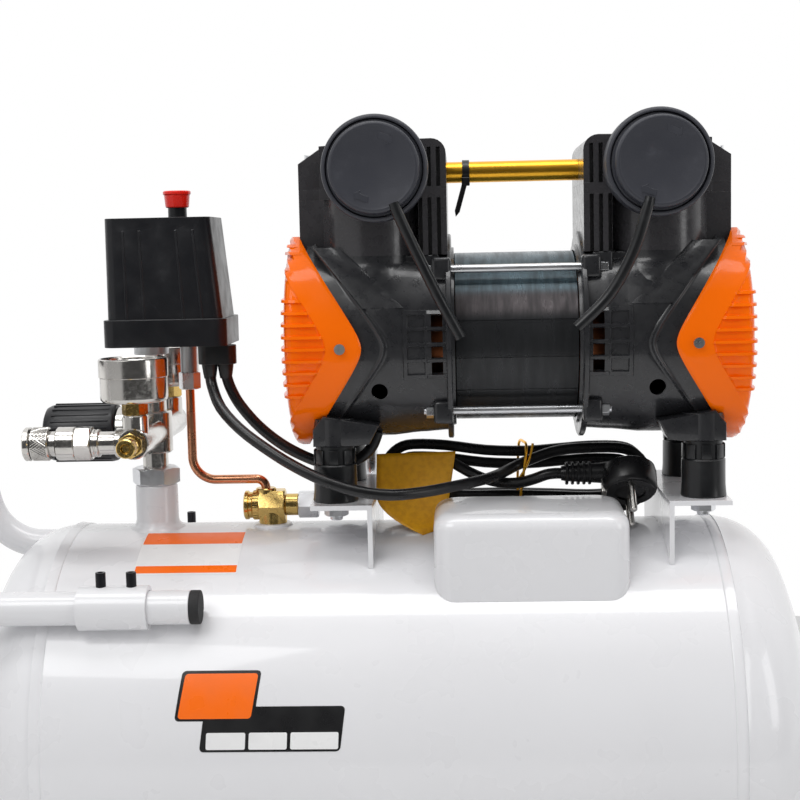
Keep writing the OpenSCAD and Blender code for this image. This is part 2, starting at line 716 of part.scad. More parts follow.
// --------------------------------------------------------------------- pump
module end_casting(cable_hole) {
  r = casting_r;
  ri = casting_r - casting_wall;
  difference() {
    union() {
      turned_x([[47, stator_half], [54, stator_half], [54, 39], [r + 1, 39], [r + 1, 42.5],
        [r - 4.5, 42.5], [r - 3.5, 56], [r, 80], [r, 127.5], [ri, 127.5], [ri, 82], [ri - 2, web_x + 4],
        [bearing_r + 5.5, web_x + 4], [bearing_r + 5.5, 74], [bearing_r + seat, 74],
        [bearing_r + seat, 61], [bearing_r + 5.5, 61], [bearing_r + 5.5, web_x],
        [ri - 4, web_x], [ri - 4, 44], [47, 42.5]]);
      for (y = [-rod_y, rod_y], z = [-rod_z, rod_z]) translate([42.5, y, z]) bar_x(7, 8.5);
      difference() {
        union() {
          block([46, -block_y, block_z - 14], [129, block_y, block_z]);
          for (y = [-mount_y, mount_y]) translate([foot_x, y, -foot_drop]) cylinder(r = 12.5, h = 12.4);
        }
        bar_x(ri, 200);
      }
    }
    block([block_in, -block_y - 20, block_z], [block_out + 5, block_y + 20, block_z + 30]);
    for (y = [-rod_y, rod_y], z = [-rod_z, rod_z]) {
      translate([38, y, z]) bar_x(2.5 + seat, 20);
      translate([51, y, z]) bar_x(6, 9);
    }
    for (z = [13, 3.6, -6, -15.6], y = [-70, 45]) block([44, y, z - 3.7], [52, y + 25, z + 3.7]);
    for (y = [-75, 50]) translate([83.2, y, -29.4]) bar_y(5, 25);
    for (y = [-mount_y, mount_y]) translate([foot_x, y, -foot_drop - 1]) cylinder(r = 4 + seat, h = 16);
    for (y = [-casting_r - 1, casting_r - 7]) translate([cover_screw_x, y, vee_z]) bar_y(2 + seat, 8);
    for (a = [22.5 : 45 : 337.5]) rotate([a, 0, 0]) translate([web_x - 1, 0, 38]) bar_x(8, 7);
    if (cable_hole) translate([87, -25, -casting_r]) cylinder(r = cord_r + seat, h = 20);
  }
}
module end_castings() {
  color(BLACK) {
    pump_side(-1) end_casting(true);
    pump_side(1) end_casting(false);
  }
}

module stator_core() {
  color([0.2, 0.2, 0.22]) at_pump() difference() {
    translate([-stator_half, 0, 0]) bar_x(stator_r, 2 * stator_half);
    translate([-stator_half - 1, 0, 0]) bar_x(28.2, 2 * stator_half + 2);
  }
}
module stator_windings() {
  color([0.72, 0.35, 0.15]) both_sides()
    turned_x([[30, stator_half], [46.5, stator_half], [45, 56], [41, 60], [34, 60], [30, 56]]);
}
module tie_rods() {
  color(ZINC) at_pump() for (y = [-rod_y, rod_y], z = [-rod_z, rod_z]) translate([0, y, z]) {
    translate([-57, 0, 0]) bar_x(2.5, 114);
    translate([51, 0, 0]) bar_x(4.6, 4.5, 6);
    translate([-55.5, 0, 0]) bar_x(4.6, 4.5, 6);
  }
}
module bearings() {
  color("silver") both_sides() translate([bearing_in, 0, 0]) difference() {
    bar_x(bearing_r, bearing_w);
    translate([-1, 0, 0]) bar_x(shaft_r + 0.05, bearing_w + 2);
  }
}

// Shaft with the laminated rotor core
module rotor() {
  color("gray") at_pump() {
    translate([-75, 0, 0]) bar_x(shaft_r, 150);
    translate([1 - stator_half, 0, 0]) bar_x(27.9, 2 * stator_half - 2);
    translate([-128, 0, 0]) bar_x(6, 256);
  }
}
// Eccentric and counterweight on each shaft end, half a turn apart
module eccentrics() {
  color("darkgray") at_pump() for (side = [-1, 1]) difference() {
    union() {
      translate([side * 88 - 6, side * throw, 0]) bar_x(9, 12);
      translate([side * 96.5 - 4, 0, 0]) bar_x(9, 8);
      translate([side * 98.5 - 2, 0, 0]) intersection() {
        bar_x(26, 4);
        block([-1, side > 0 ? -30 : 0, -30], [6, side > 0 ? 0 : 30, 30]);
      }
    }
    translate([side * 90 - 20, 0, 0]) bar_x(6 + seat, 40);
  }
}
module fans() {
  color([0.85, 0.85, 0.8]) both_sides() translate([fan_x, 0, 0]) difference() {
    union() {
      translate([-6, 0, 0]) bar_x(12, 12);
      for (a = [0 : 45 : 315]) rotate([a, 0, 0]) rotate([0, 0, 35]) block([-6, -1, 9], [6, 1, fan_r]);
    }
    translate([-9, 0, 0]) bar_x(6 + seat, 20);
  }
}

// One-piece piston and rod; its open eye leaves room for the eccentric's orbit
module piston() {
  eye = 9 + 2 * throw + 0.6;
  top = piston_top;
  color("lightgray") {
    difference() {
      translate([83, 0, 0]) bar_x(eye + 4, 10);
      translate([82, 0, 0]) bar_x(eye, 12);
    }
    block([84, -6, eye + 2], [92, 6, top - piston_h + 1]);
    translate([cyl_x, 0, top - piston_h]) cylinder(r = bore_r - run, h = piston_h);
  }
}
module piston_left() { pump_side(-1) piston(); }
module piston_right() { pump_side(1) piston(); }

module cylinder_block() {
  difference() {
    union() {
      block([block_in, -block_y, block_z], [fin_end, block_y, plate_z]);
      block([fin_end - 1, -side_y, block_z], [block_out, side_y, plate_z]);
      front_barrels(block_z, block_h);
    }
    translate([cyl_x, 0, block_z - 1]) cylinder(r = bore_r, h = block_h + 2);
    for (x = [44.5, 50, 55.5], y = [-block_y - 1, block_y - 7])
      block([x, y, block_z - 1], [x + 2.4, y + 8, plate_z + 1]);
  }
}
// Rounded front and back of a cylinder
module front_barrels(z, h) {
  for (side = [-1, 1]) translate([cyl_x, side * (block_y - barrel_r), z]) cylinder(r = barrel_r, h = h);
}
module cylinder_blocks() { color(BLACK) both_sides() cylinder_block(); }

module valve_plates() {
  color("gray") both_sides() difference() {
    block([block_in, -block_y, plate_z], [block_out, block_y, head_z]);
    outer_steps(plate_z, head_z);
    for (y = [-20, 16]) translate([cyl_x, y, plate_z - 1]) cylinder(r = 4, h = plate_t + 2);
    at_head_bolts() translate([0, 0, plate_z - 1]) cylinder(r = 2.5 + seat, h = plate_t + 2);
  }
}
// Cuts the outer end of a cylinder narrower than its middle
module outer_steps(low, high) {
  for (y = [-block_y - 1, side_y])
    block([step_x, y, low - 1], [block_out + 1, y + block_y - side_y + 1, high + 1]);
}
module at_head_bolts() {
  for (p = [[block_in + 22, block_y - 6], [block_out - 7, side_y - 8]], side = [-1, 1])
    translate([p[0], side * p[1], 0]) children();
}

module cylinder_head() {
  top = head_z + head_h;
  difference() {
    translate([0, block_y, 0]) rotate([90, 0, 0]) linear_extrude(2 * block_y)
      polygon(concat([[block_in, head_z], [block_out, head_z], [block_out, top - 11],
        [block_out - 11, top]], arc(block_in + 9, top - 9, 9, 90, 180, 6)));
    outer_steps(head_z, top);
    block([block_in + 9, 12 - block_y, head_z - 1], [step_x - 1, -12, top - 7]);
    block([block_in + 9, -8, head_z - 1], [step_x - 1, block_y - 12, top - 7]);
    translate([intake_x, -block_y - 1, port_z]) bar_y(9 + seat, 14);
    translate([block_in - 1, 0, port_z]) bar_x(cross_r + seat, 12);
    for (x = [44.5, 50, 55.5]) for (y = [-block_y - 1, block_y - 7])
      block([x, y, head_z - 1], [x + 2.4, y + 8, top - 5]);
    at_head_bolts() {
      translate([0, 0, head_z - 1]) cylinder(r = 2.5 + seat, h = head_h + 2);
      translate([0, 0, head_z + head_h - bolt_sink]) cylinder(r = 4.8, h = bolt_sink + 1);
    }
    translate([pump_x - discharge_x, block_y - 13, head_z + 17]) bar_y(4.5 + seat, 15);
  }
}
module cylinder_heads() { color(BLACK) both_sides() cylinder_head(); }

module crossover_tube() {
  color([0.85, 0.6, 0.15]) at_pump() translate([-block_in - 8, 0, port_z]) difference() {
    bar_x(cross_r, 2 * block_in + 16);
    translate([-1, 0, 0]) bar_x(cross_r - 1.5, 2 * block_in + 18);
  }
}

// Intake filters, on the front of the heads
filter_back = 60;
filter_front = 78;
tube_angle = 242;                       // where an intake tube leaves its housing
module at_filter() { translate([intake_x, 0, port_z]) rotate([90, 0, 0]) children(); }
module filter_housings() {
  color([0.16, 0.17, 0.18]) both_sides() at_filter() difference() {
    union() {
      translate([0, 0, block_y - 7]) cylinder(r = 9, h = filter_back - block_y + 8);
      translate([0, 0, filter_back]) cylinder(r = filter_r, h = filter_front - filter_back);
      rotate([0, 0, tube_angle])
        block([filter_r - 4.2, -4.2, filter_front - 1], [filter_r, 4.2, cap_y + 4]);
    }
    translate([0, 0, block_y - 8]) cylinder(r = 6.5, h = 30);
    translate([0, 0, filter_back + 3]) cylinder(r = filter_r - 2.7, h = filter_front - filter_back - 5);
    translate([0, 0, filter_back + 3]) cylinder(r = filter_r - 4.4, h = 30);
  }
}
module filter_elements() {
  color("khaki") both_sides() at_filter() translate([0, 0, filter_back + 3]) difference() {
    cylinder(r = filter_r - 3.2, h = 8);
    translate([0, 0, -1]) cylinder(r = 5, h = 4);
  }
}
module filter_cap() {
  at_filter() {
    translate([0, 0, filter_back + 11.3]) cylinder(r = filter_r - 3, h = filter_front - filter_back - 13.6);
    translate([0, 0, filter_back + 12]) cylinder(r = filter_r - 4.8, h = filter_front - filter_back - 4);
  }
}
module filter_cap_left() { color([0.2, 0.21, 0.23]) pump_side(-1) filter_cap(); }
module filter_cap_right() { color([0.2, 0.21, 0.23]) pump_side(1) filter_cap(); }
module intake_tubes() {
  out = filter_r + 0.5;
  start = [intake_x + out * cos(tube_angle), port_z + out * sin(tube_angle)];
  end = [34, 5];
  span = end - start;
  color(BLACK) both_sides() translate([start[0], -cap_y, start[1]])
    rotate([0, 90 - atan2(span[1], span[0]), 0]) difference() {
      cylinder(r = 3.3, h = norm(span));
      translate([0, 0, 2]) cylinder(r = 2.1, h = norm(span));
    }
}

// Orange end covers: a domed shell that ends in a V on both sides
function cover_vee(tip, z_half, tip_r) =
    let (slope = 53.8, cx = tip + tip_r / sin(slope))
    concat([[tip + z_half * 0.732, vee_z + z_half]],
      arc(cx, vee_z, tip_r, 90 + slope, 270 - slope, 8),
      [[tip + z_half * 0.732, vee_z - z_half], [160, vee_z - z_half], [160, vee_z + z_half]]);
cover_r = casting_r + run + cover_wall;
function dome(grow) = [[0, 80], [cover_r + grow, 80], [cover_r + grow, 128],
    [cover_r - 5 + grow, 134 + grow], [50 + grow, 138.5 + grow], [30, 141 + grow],
    [0, cover_end + grow]];
module end_cover() {
  difference() {
    intersection() {
      union() {
        turned_x(dome(0));
        intersection() {
          turned_x(dome(1.5));
          translate([0, 100, 0]) rotate([90, 0, 0]) linear_extrude(200)
            polygon(cover_vee(113, 40, 4));
          for (i = [-4 : 4]) translate([0, 0, vee_z + 7.2 * i]) block([80, -100, -1], [160, 100, 1]);
        }
      }
      translate([0, 100, 0]) rotate([90, 0, 0]) linear_extrude(200) polygon(cover_vee(vee_tip, 80, 12));
    }
    turned_x(dome(-cover_wall));
    block([block_in, -block_y - seat, block_z - 14 - seat], [block_out + seat, block_y + seat, 90]);
    for (y = [-80, 50]) translate([cover_screw_x, y, vee_z]) bar_y(2 + seat, 30);
  }
}
module end_covers() { color(ORANGE) both_sides() end_cover(); }

// Cover screws and cylinder head bolts
module pump_screws() {
  color(ZINC) both_sides() {
    for (side = [-1, 1]) mirror([0, side < 0 ? 1 : 0, 0]) translate([cover_screw_x, cover_r, vee_z]) {
      translate([0, -8, 0]) bar_y(2, 9);
      difference() {
        bar_y(3.2, 2);
        block([-2.2, 1.2, -0.4], [2.2, 3, 0.4]);
        block([-0.4, 1.2, -2.2], [0.4, 3, 2.2]);
      }
    }
    at_head_bolts() {
      translate([0, 0, plate_z + 0.5]) cylinder(r = 2.5, h = head_h + plate_t - bolt_sink);
      translate([0, 0, head_z + head_h - bolt_sink]) difference() {
        cylinder(r = 4.3, h = 5);
        translate([0, 0, 2]) cylinder(r = 2.4, h = 4, $fn = 6);
      }
    }
  }
}

// -------------------------------------------------------------- electrics
box_x = 87;                             // middle of the box from the middle of the tank
box_front = -84;
box_back = -18;
box_top = tank_r + 21;
module capacitor_box() {
  wall = 2.5;
  cap_dist = tank_r + cap_r + run;
  cap_z = sqrt(cap_dist * cap_dist - 62 * 62);
  color(WHITE) on_tank() {
    clear_of_tank() difference() {
      translate([0, 0, 80]) linear_extrude(box_top - 80)
        polygon(rounded(box_x - box_len / 2, box_front, box_x + box_len / 2, box_back, 12));
      translate([0, 0, 79]) linear_extrude(box_top - 79 - wall)
        polygon(rounded(box_x - box_len / 2 + wall, box_front + wall,
          box_x + box_len / 2 - wall, box_back - wall, 12 - wall));
    }
    // The capacitor stands against the box's front wall in two clips
    translate([box_x - 36, -62, cap_z]) bar_x(cap_r, 72);
  }
}

// Motor cable: from the gland, behind the left front foot, up into the casting
motor_route = [[-101, -16, 0], [-101, -16, -5.5], [-101, -16, -11], [-98, -16.6, -20.8],
  [-91.8, -18, -31.7], [-80, -20, -45], [-64.9, -21.6, -56.8], [-48, -22, -65.6], [-33, -22, -70],
  [-23.4, -22.6, -68.2], [-15.2, -24, -63.8], [-9.6, -24.9, -58.2], [-6.8, -25, -52.3]];
// Mains cord: in front of the left foot, then to the rear, up onto the hank
mains_route = [[-111, -16, 0], [-111, -16, -5.5], [-111, -16, -11], [-109.2, -19.2, -19.5],
  [-102.4, -31, -31.4], [-89.3, -42, -43.4], [-73, -51, -54.2], [-54.8, -58.5, -64.5],
  [-35.8, -63, -73.2], [-16.6, -64, -79.4], [3.6, -60, -82.8], [23.2, -50, -82.9], [42, -36, -81.8],
  [58.9, -20, -80.8], [67, -11, -79.8], [72.6, -3, -78.8], [75, 2.4, -78.3], [75, 5.2, -78.3],
  [75, 7.9, -78.3]];
// Mains cord between the hank and the plug
plug_route = [[62, 4.6, -84.3], [73, 1.2, -86.2], [83, -2.6, -85.6], [92, -6.4, -82.8],
  [99.5, -8.7, -79.8], [105, -9, -79], [108.5, -9, -79], [112, -9, -79]];
cable_z = switch_z - 7;
function placed(route) = [for (p = route) [p[0], p[1], p[2] + cable_z]];
module motor_cable() {
  color(BLACK) on_tank() swept(smooth(placed(motor_route), 2), cord_r);
}
module mains_cord() {
  color(BLACK) on_tank() {
    swept(smooth(placed(mains_route), 2), cord_r);
    swept(smooth(placed(plug_route), 2), cord_r);
  }
}

hank_front = 8;
hank_back = 26;
module mains_cord_hank() {
  color(BLACK) on_tank() translate([0, hank_back, 0]) rotate([90, 0, 0])
    linear_extrude(hank_back - hank_front) hull() {
      translate([15, tank_r + 28.7]) circle(r = 23);
      translate([148, tank_r + 24]) circle(r = 22);
      translate([120, tank_r + 30]) circle(r = 21);
    }
}

// Two-pin earthed plug, lying beside the capacitor box
plug_c = [151.5, -11.5, 153.5];
plug_r = 17.5;
plug_tilt = -40;
module mains_plug() {
  color(BLACK) on_tank() {
    translate(plug_c) rotate([plug_tilt, 0, 0]) {
      translate([0, 0, -10]) cylinder(r = plug_r, h = 18);
      for (side = [-1, 1]) translate([0, side * 9.5, -29]) cylinder(r = 2.4, h = 20);
    }
    translate([112, -9, cable_z - 79]) bar_x(6.2, 30);
  }
}

module drain_screw() {
  color(BRASS) on_tank() translate([0, 0, -tank_r - 12]) {
    translate([0, 0, -run - 3]) cylinder(r = 9, h = 3);
    translate([0, 0, -run - 9]) cylinder(r = 6, h = 7);
    translate([0, 0, -run - 1]) cylinder(r = 6.24, h = 12);
  }
}

// ----------------------------------------------------------------- output
tank();
handle_sockets();
socket_screws();
legs();
rubber_feet();
wheel_axle();
pump_brackets();
manifold();
pipe_nuts();
gauge_cases();
gauge_lenses();
safety_valve_body();
coupler_body();
switch_base();
switch_cover();
cable_gland();
check_valve();
unloader_tube();
discharge_pipe();
mounting_bushes();
mounting_bolts();
end_castings();
stator_core();
stator_windings();
tie_rods();
bearings();
cylinder_blocks();
valve_plates();
cylinder_heads();
crossover_tube();
filter_housings();
filter_elements();
intake_tubes();
end_covers();
pump_screws();
capacitor_box();
motor_cable();
handle();
handle_grip();
near_wheel();
near_tyre();
far_wheel();
far_tyre();
rotor();
eccentrics();
fans();
piston_left();
piston_right();
switch_knob();
regulator_knob();
coupler_sleeve();
safety_valve_stem();
tank_gauge_needle();
outlet_gauge_needle();
drain_screw();
filter_cap_left();
filter_cap_right();
mains_cord();
mains_cord_hank();
mains_plug();
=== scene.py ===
"""Air compressor: a twin-cylinder pump on a wheeled tank, dressed for display."""
import json
import math

import bmesh
import bpy
from bpy.props import FloatProperty, FloatVectorProperty, IntProperty, PointerProperty
from mathutils import Matrix, Vector


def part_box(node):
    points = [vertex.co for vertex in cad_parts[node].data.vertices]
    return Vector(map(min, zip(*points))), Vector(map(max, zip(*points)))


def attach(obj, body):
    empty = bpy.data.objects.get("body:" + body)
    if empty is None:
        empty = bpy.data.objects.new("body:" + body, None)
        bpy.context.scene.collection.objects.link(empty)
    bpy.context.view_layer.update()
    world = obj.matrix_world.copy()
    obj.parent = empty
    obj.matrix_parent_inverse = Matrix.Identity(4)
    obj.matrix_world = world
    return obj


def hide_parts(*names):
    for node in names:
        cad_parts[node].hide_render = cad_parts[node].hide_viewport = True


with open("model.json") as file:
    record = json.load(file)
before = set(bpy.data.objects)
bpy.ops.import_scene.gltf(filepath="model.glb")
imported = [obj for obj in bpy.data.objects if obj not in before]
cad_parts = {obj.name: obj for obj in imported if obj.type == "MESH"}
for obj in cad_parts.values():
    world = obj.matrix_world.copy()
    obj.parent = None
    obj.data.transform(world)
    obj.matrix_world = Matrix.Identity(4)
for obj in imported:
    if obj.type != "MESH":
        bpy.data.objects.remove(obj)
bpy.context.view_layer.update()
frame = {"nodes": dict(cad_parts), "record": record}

bl_info = {
    "name": "Air compressor",
    "version": (1, 0, 0),
    "blender": (4, 5, 0),
    "location": "View3D > Sidebar > Compressor",
    "description": "Builds the visible pieces of a portable air compressor",
    "category": "Add Mesh",
}

# Places in the part are worked out from the tank's middle, in millimetres
TANK_X = 40.686
TANK_Z = 200.0
PUMP_X = 81.0
PUMP_Z = 244.7
RISER_X = -151.0
ARM_Z = 187.0  # the manifold's cross arm and the outlets in line with it
VALVE_X = -76.0
VALVE_Z = 138.0
TANK_R = 125.0
SHELL_R = 61.4  # the castings' round outside
FOOT_X = 112.2
FOOT_Y = 42.0
CYLINDER_X = 87.6
INTAKE_X = 82.2
INTAKE_Z = 102.7
CORD_R = 0.0035  # in metres
MILLIMETRES = Matrix.Scale(0.001, 4)


def at(x, y, z):
    """A point measured from the tank's middle in millimetres, in the row frame in metres."""
    return Vector(((x + TANK_X) / 1000, y / 1000, (z + TANK_Z) / 1000))


def at_pump(x, y, z):
    """A point measured from the pump's middle in millimetres, in the row frame in metres."""
    return at(x + PUMP_X, y, z + PUMP_Z)


def at_riser(x, y, z):
    """A point measured from the outlet riser's axis in millimetres, in the row frame in metres."""
    return at(x + RISER_X, y, z)


# Materials
class Value:
    """A shader socket that takes part in Python arithmetic."""

    def __init__(self, finish, socket):
        self.finish = finish
        self.socket = socket

    def math(self, operation, *values):
        return self.finish.add("ShaderNodeMath", {"operation": operation}, dict(enumerate(values)))

    def __add__(self, other):
        return self.math("ADD", self, other)

    def __mul__(self, other):
        return self.math("MULTIPLY", self, other)

    def __truediv__(self, other):
        return self.math("DIVIDE", self, other)

    def __rsub__(self, other):
        return self.math("SUBTRACT", other, self)

    def wave(self):
        return self.math("PINGPONG", self, 0.5)

    def larger(self, other):
        return self.math("MAXIMUM", self, other)

    def ramp(self, low, high, to_low=0.0, to_high=1.0):
        return self.finish.add("ShaderNodeMapRange", {"clamp": True, "interpolation_type": "SMOOTHSTEP"},
                               {"Value": self, "From Min": low, "From Max": high,
                                "To Min": to_low, "To Max": to_high})


class Nodes:
    """One shader tree, with a short way to add a node to it."""

    def __init__(self, tree):
        self.tree = tree

    def add(self, kind, settings=None, values=None, output=0):
        node = self.tree.nodes.new(kind)
        for key, setting in (settings or {}).items():
            setattr(node, key, setting)
        for key, value in (values or {}).items():
            self.feed(node.inputs[key], value)
        return Value(self, node.outputs[output])

    def feed(self, socket, value):
        """Links a value to a socket, or sets the socket's own constant."""
        if isinstance(value, Value):
            self.tree.links.new(value.socket, socket)
        else:
            socket.default_value = value


class Finish(Nodes):
    """One material with its principled shader, and short ways to vary it."""

    def __init__(self, name):
        self.material = bpy.data.materials.new(name)
        self.material.use_nodes = True
        super().__init__(self.material.node_tree)
        self.shader = self.tree.nodes["Principled BSDF"]

    def put(self, **inputs):
        """Sets or links the shader's inputs: base_color is Base Color, and so on."""
        for key, value in inputs.items():
            name = {"ior": "IOR", "specular": "Specular IOR Level"}.get(key)
            self.feed(self.shader.inputs[name or key.replace("_", " ").title()], value)
        return self

    def place(self):
        return self.add("ShaderNodeTexCoord", output=3)

    def axis(self, name):
        return self.add("ShaderNodeSeparateXYZ", None, {0: self.place()}, name)

    def stretched(self, scale):
        return self.add("ShaderNodeMapping", None, {0: self.place(), "Scale": scale})

    def noise(self, scale, detail=2.0, roughness=0.5, of=None):
        return self.add("ShaderNodeTexNoise", None,
                        {"Vector": of or self.place(), "Scale": scale, "Detail": detail,
                         "Roughness": roughness})

    def blend(self, factor, first, second):
        colours = [c if isinstance(c, Value) else (*c[:3], 1.0) for c in (first, second)]
        return self.add("ShaderNodeMix", {"data_type": "RGBA"}, {0: factor, 6: colours[0], 7: colours[1]}, 2)

    def worn_edges(self, radius=0.0008):
        """1 on outer edges, 0 on flat faces."""
        soft = self.add("ShaderNodeBevel", {"samples": 4}, {"Radius": radius})
        sharp = self.add("ShaderNodeNewGeometry", output=1)
        near = self.add("ShaderNodeVectorMath", {"operation": "DOT_PRODUCT"}, {0: soft, 1: sharp}, 1)
        return near.ramp(0.97, 0.8)

    def bumped(self, height, distance, strength=1.0):
        self.put(normal=self.add("ShaderNodeBump", None,
                                 {"Strength": strength, "Distance": distance, "Height": height}))
        return self


def shades(colour, amount):
    """The same colour a little darker."""
    return tuple(c * (1 - amount) for c in colour[:3])


def enamel(name, colour, coat=0.6, roughness=0.28, specular=0.5):
    """Glossy powder coat with slight unevenness and a trace of dust in random clouds."""
    f = Finish(name)
    cloud = f.noise(9.0, 4.0)
    f.put(base_color=f.blend(cloud.ramp(0.35, 0.75), colour, shades(colour, 0.02)),
          roughness=f.noise(30.0, 3.0).ramp(0.3, 0.7, roughness - 0.02, roughness + 0.03),
          specular=specular, coat_weight=coat, coat_roughness=0.05)
    return f.bumped(f.noise(420.0, 2.0), 0.00002, 0.6).material


def moulded(name, colour, roughness=0.45, grain=0.00008, grain_scale=900.0, coat=0.0):
    """Moulded plastic or rubber: fine grain and a little scuffing in patches."""
    f = Finish(name)
    scuff = f.noise(70.0, 5.0, 0.6)
    paler = tuple(min(1.0, c * 1.5 + 0.012) for c in colour[:3])
    f.put(base_color=f.blend(scuff.ramp(0.55, 0.9), colour, paler),
          roughness=scuff.ramp(0.3, 0.75, roughness - 0.06, roughness + 0.08),
          coat_weight=coat, coat_roughness=0.1)
    return f.bumped(f.noise(grain_scale, 3.0), grain).material


def painted_casting(name, colour, roughness=0.3):
    """Gloss paint over a die casting: soft lumps, fine grain and thin paint on its edges."""
    f = Finish(name)
    lumps = f.noise(160.0, 3.0)
    edge = f.worn_edges(0.0006) * f.noise(260.0, 4.0).ramp(0.45, 0.7)
    f.put(base_color=f.blend(edge * 0.35, colour, (0.2, 0.2, 0.21)),
          roughness=lumps.ramp(0.3, 0.7, roughness - 0.06, roughness + 0.1),
          coat_weight=0.35, coat_roughness=0.12)
    return f.bumped(lumps * 0.7 + f.noise(700.0, 3.0) * 0.4, 0.00016).material


def metal(name, colour, roughness=0.22, streaks=(1, 1, 1), streak_scale=500.0, depth=0.000006):
    """Bare or plated metal with fine working marks and slight tarnish."""
    f = Finish(name)
    marks = f.noise(streak_scale, 4.0, 0.6, f.stretched(streaks))
    tarnish = f.noise(45.0, 4.0)
    f.put(base_color=f.blend(tarnish.ramp(0.45, 0.8), colour, shades(colour, 0.16)), metallic=1.0,
          roughness=(marks.ramp(0.3, 0.75, roughness - 0.06, roughness + 0.1)
                     + tarnish.ramp(0.5, 0.8, 0.0, 0.06)))
    return f.bumped(marks, depth, 0.7).material


def laminations(name, colour):
    """Thin blued steel sheets stacked along X, with painted reflections: greener towards the top, then a
    warmer band.
    """
    f = Finish(name)
    sheets = (f.axis("X") / 0.00065).wave() * 2
    height = f.axis("Z")
    middle = at_pump(0, 0, 0).z
    # painted reflections of the lamps, by height: a teal band at the top and a warmer band below it
    painted_top_reflection = height.ramp(middle + 0.026, middle + 0.032)
    painted_warm_reflection = height.ramp(middle + 0.012, middle + 0.02)
    patchy = f.noise(240.0, 3.0, 0.6, f.stretched((1, 0.15, 0.15)))
    reflection_tint = f.blend(painted_top_reflection, f.blend(painted_warm_reflection, colour, (0.15, 0.13, 0.135)), (0.15, 0.24, 0.29))
    dark = f.blend(patchy.ramp(0.35, 0.7), reflection_tint, f.blend(0.5, reflection_tint, shades(colour, 0.6)))
    f.put(base_color=f.blend(sheets.ramp(0.1, 0.8), shades(colour, 0.75), dark), metallic=0.6,
          roughness=patchy.ramp(0.3, 0.7, 0.26, 0.4), coat_weight=0.25, coat_roughness=0.2)
    return f.bumped(sheets, 0.00012).material


def glass(name):
    f = Finish(name)
    smear = f.noise(90.0, 3.0)
    f.put(base_color=(0.97, 0.98, 1.0, 1.0), transmission_weight=1.0, ior=1.46,
          roughness=smear.ramp(0.4, 0.8, 0.01, 0.05))
    return f.material


def make_finishes():
    """Every finish of the compressor by name."""
    look = bpy.context.scene.compressor_look
    black = (0.019, 0.0195, 0.022)
    return {
        "white": enamel("white powder coat", tuple(look.enamel_colour)),
        "orange": enamel("orange gloss plastic", tuple(look.cover_colour), 0.2, 0.2, 0.12),
        "casting": painted_casting("black painted casting", black),
        "head": painted_casting("black painted cylinder", (0.038, 0.0365, 0.04), 0.26),
        "laminations": laminations("stator sheets", (0.035, 0.037, 0.041)),
        "switch": moulded("black switch plastic", (0.008, 0.0085, 0.011), 0.34, 0.00004, 1400.0),
        "charcoal": moulded("charcoal plastic", (0.037, 0.039, 0.05), 0.46, 0.00003, 1800.0),
        "rubber": moulded("black rubber", (0.0055, 0.0062, 0.0075), 0.36, 0.00004, 500.0, 0.2),
        "grip": moulded("foam grip", (0.02, 0.02, 0.021), 0.75, 0.0002, 1200.0),
        "cable": moulded("cable sheath", (0.008, 0.008, 0.009), 0.3, 0.00001, 300.0),
        "tyre": moulded("solid tyre", (0.018, 0.018, 0.018), 0.7, 0.00015, 700.0),
        "wheel": moulded("pale wheel plastic", (0.72, 0.72, 0.7), 0.35, 0.00003, 600.0, 0.3),
        "red": moulded("red button plastic", (0.85, 0.014, 0.004), 0.28, 0.00003, 400.0, 0.3),
        "nylon": moulded("white nylon", (0.7, 0.69, 0.65), 0.5),
        "felt": moulded("filter felt", (0.66, 0.64, 0.58), 0.95, 0.0006, 1600.0),
        "nickel": metal("nickel plate", (0.66, 0.64, 0.61), 0.16),
        "zinc": metal("bright zinc plate", (0.75, 0.76, 0.78), 0.3, (1, 1, 1), 60.0, 0.000002),
        "steel": metal("ground steel", (0.6, 0.61, 0.62), 0.22, (0.1, 1, 1), 160.0, 0.000002),
        "aluminium": metal("aluminium", (0.68, 0.69, 0.71), 0.3),
        "cast": metal("die cast alloy", (0.55, 0.56, 0.57), 0.42, (1, 1, 1), 300.0, 0.00003),
        "brass": metal("turned brass", (0.72, 0.5, 0.17), 0.2),
        "winding": metal("enamelled winding", (0.3, 0.1, 0.04), 0.4, (1, 1, 1), 200.0),
        "copper": metal("copper tube", (0.78, 0.36, 0.2), 0.2, (1, 1, 1), 40.0, 0.000001),
        "gold": metal("gold anodised tube", (1.0, 0.52, 0.045), 0.27, (0.1, 1, 1), 60.0, 0.000001),
        "iron": metal("cast iron", (0.22, 0.22, 0.23), 0.5, (1, 1, 1), 300.0, 0.00006),
        "screw_black": metal("black oxide steel", (0.04, 0.04, 0.045), 0.35),
        "glass": glass("clear lens"),
    }


FINISHES = {}


def finish(name):
    if not FINISHES:
        FINISHES.update(make_finishes())
    return FINISHES[name]


# Mesh helpers
def body_of_node(node):
    for body, nodes in frame["record"]["behaviour"]["bodies"].items():
        if node in nodes:
            return body
    raise RuntimeError("no body holds " + node)


def from_bmesh(name, bm, material=None, smooth=35.0):
    """An object from a bmesh, shaded smooth but for edges sharper than smooth degrees."""
    mesh = bpy.data.meshes.new(name)
    bm.to_mesh(mesh)
    bm.free()
    if smooth:
        mesh.shade_smooth()
        mesh.set_sharp_from_angle(angle=math.radians(smooth))
    obj = bpy.data.objects.new(name, mesh)
    bpy.context.scene.collection.objects.link(obj)
    if material:
        mesh.materials.append(material)
    return obj


def baked(obj):
    """Turns the object with its modifiers into a plain mesh."""
    graph = bpy.context.evaluated_depsgraph_get()
    mesh = bpy.data.meshes.new_from_object(obj.evaluated_get(graph), depsgraph=graph)
    obj.modifiers.clear()
    obj.data = mesh
    return obj


def beside(obj, node):
    """Lets a piece ride with the body that holds a solid."""
    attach(obj, body_of_node(node))
    return obj


def settle(obj, node):
    """Lets a finished piece ride and stand for a solid."""
    beside(obj, node)
    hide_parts(node)
    return obj


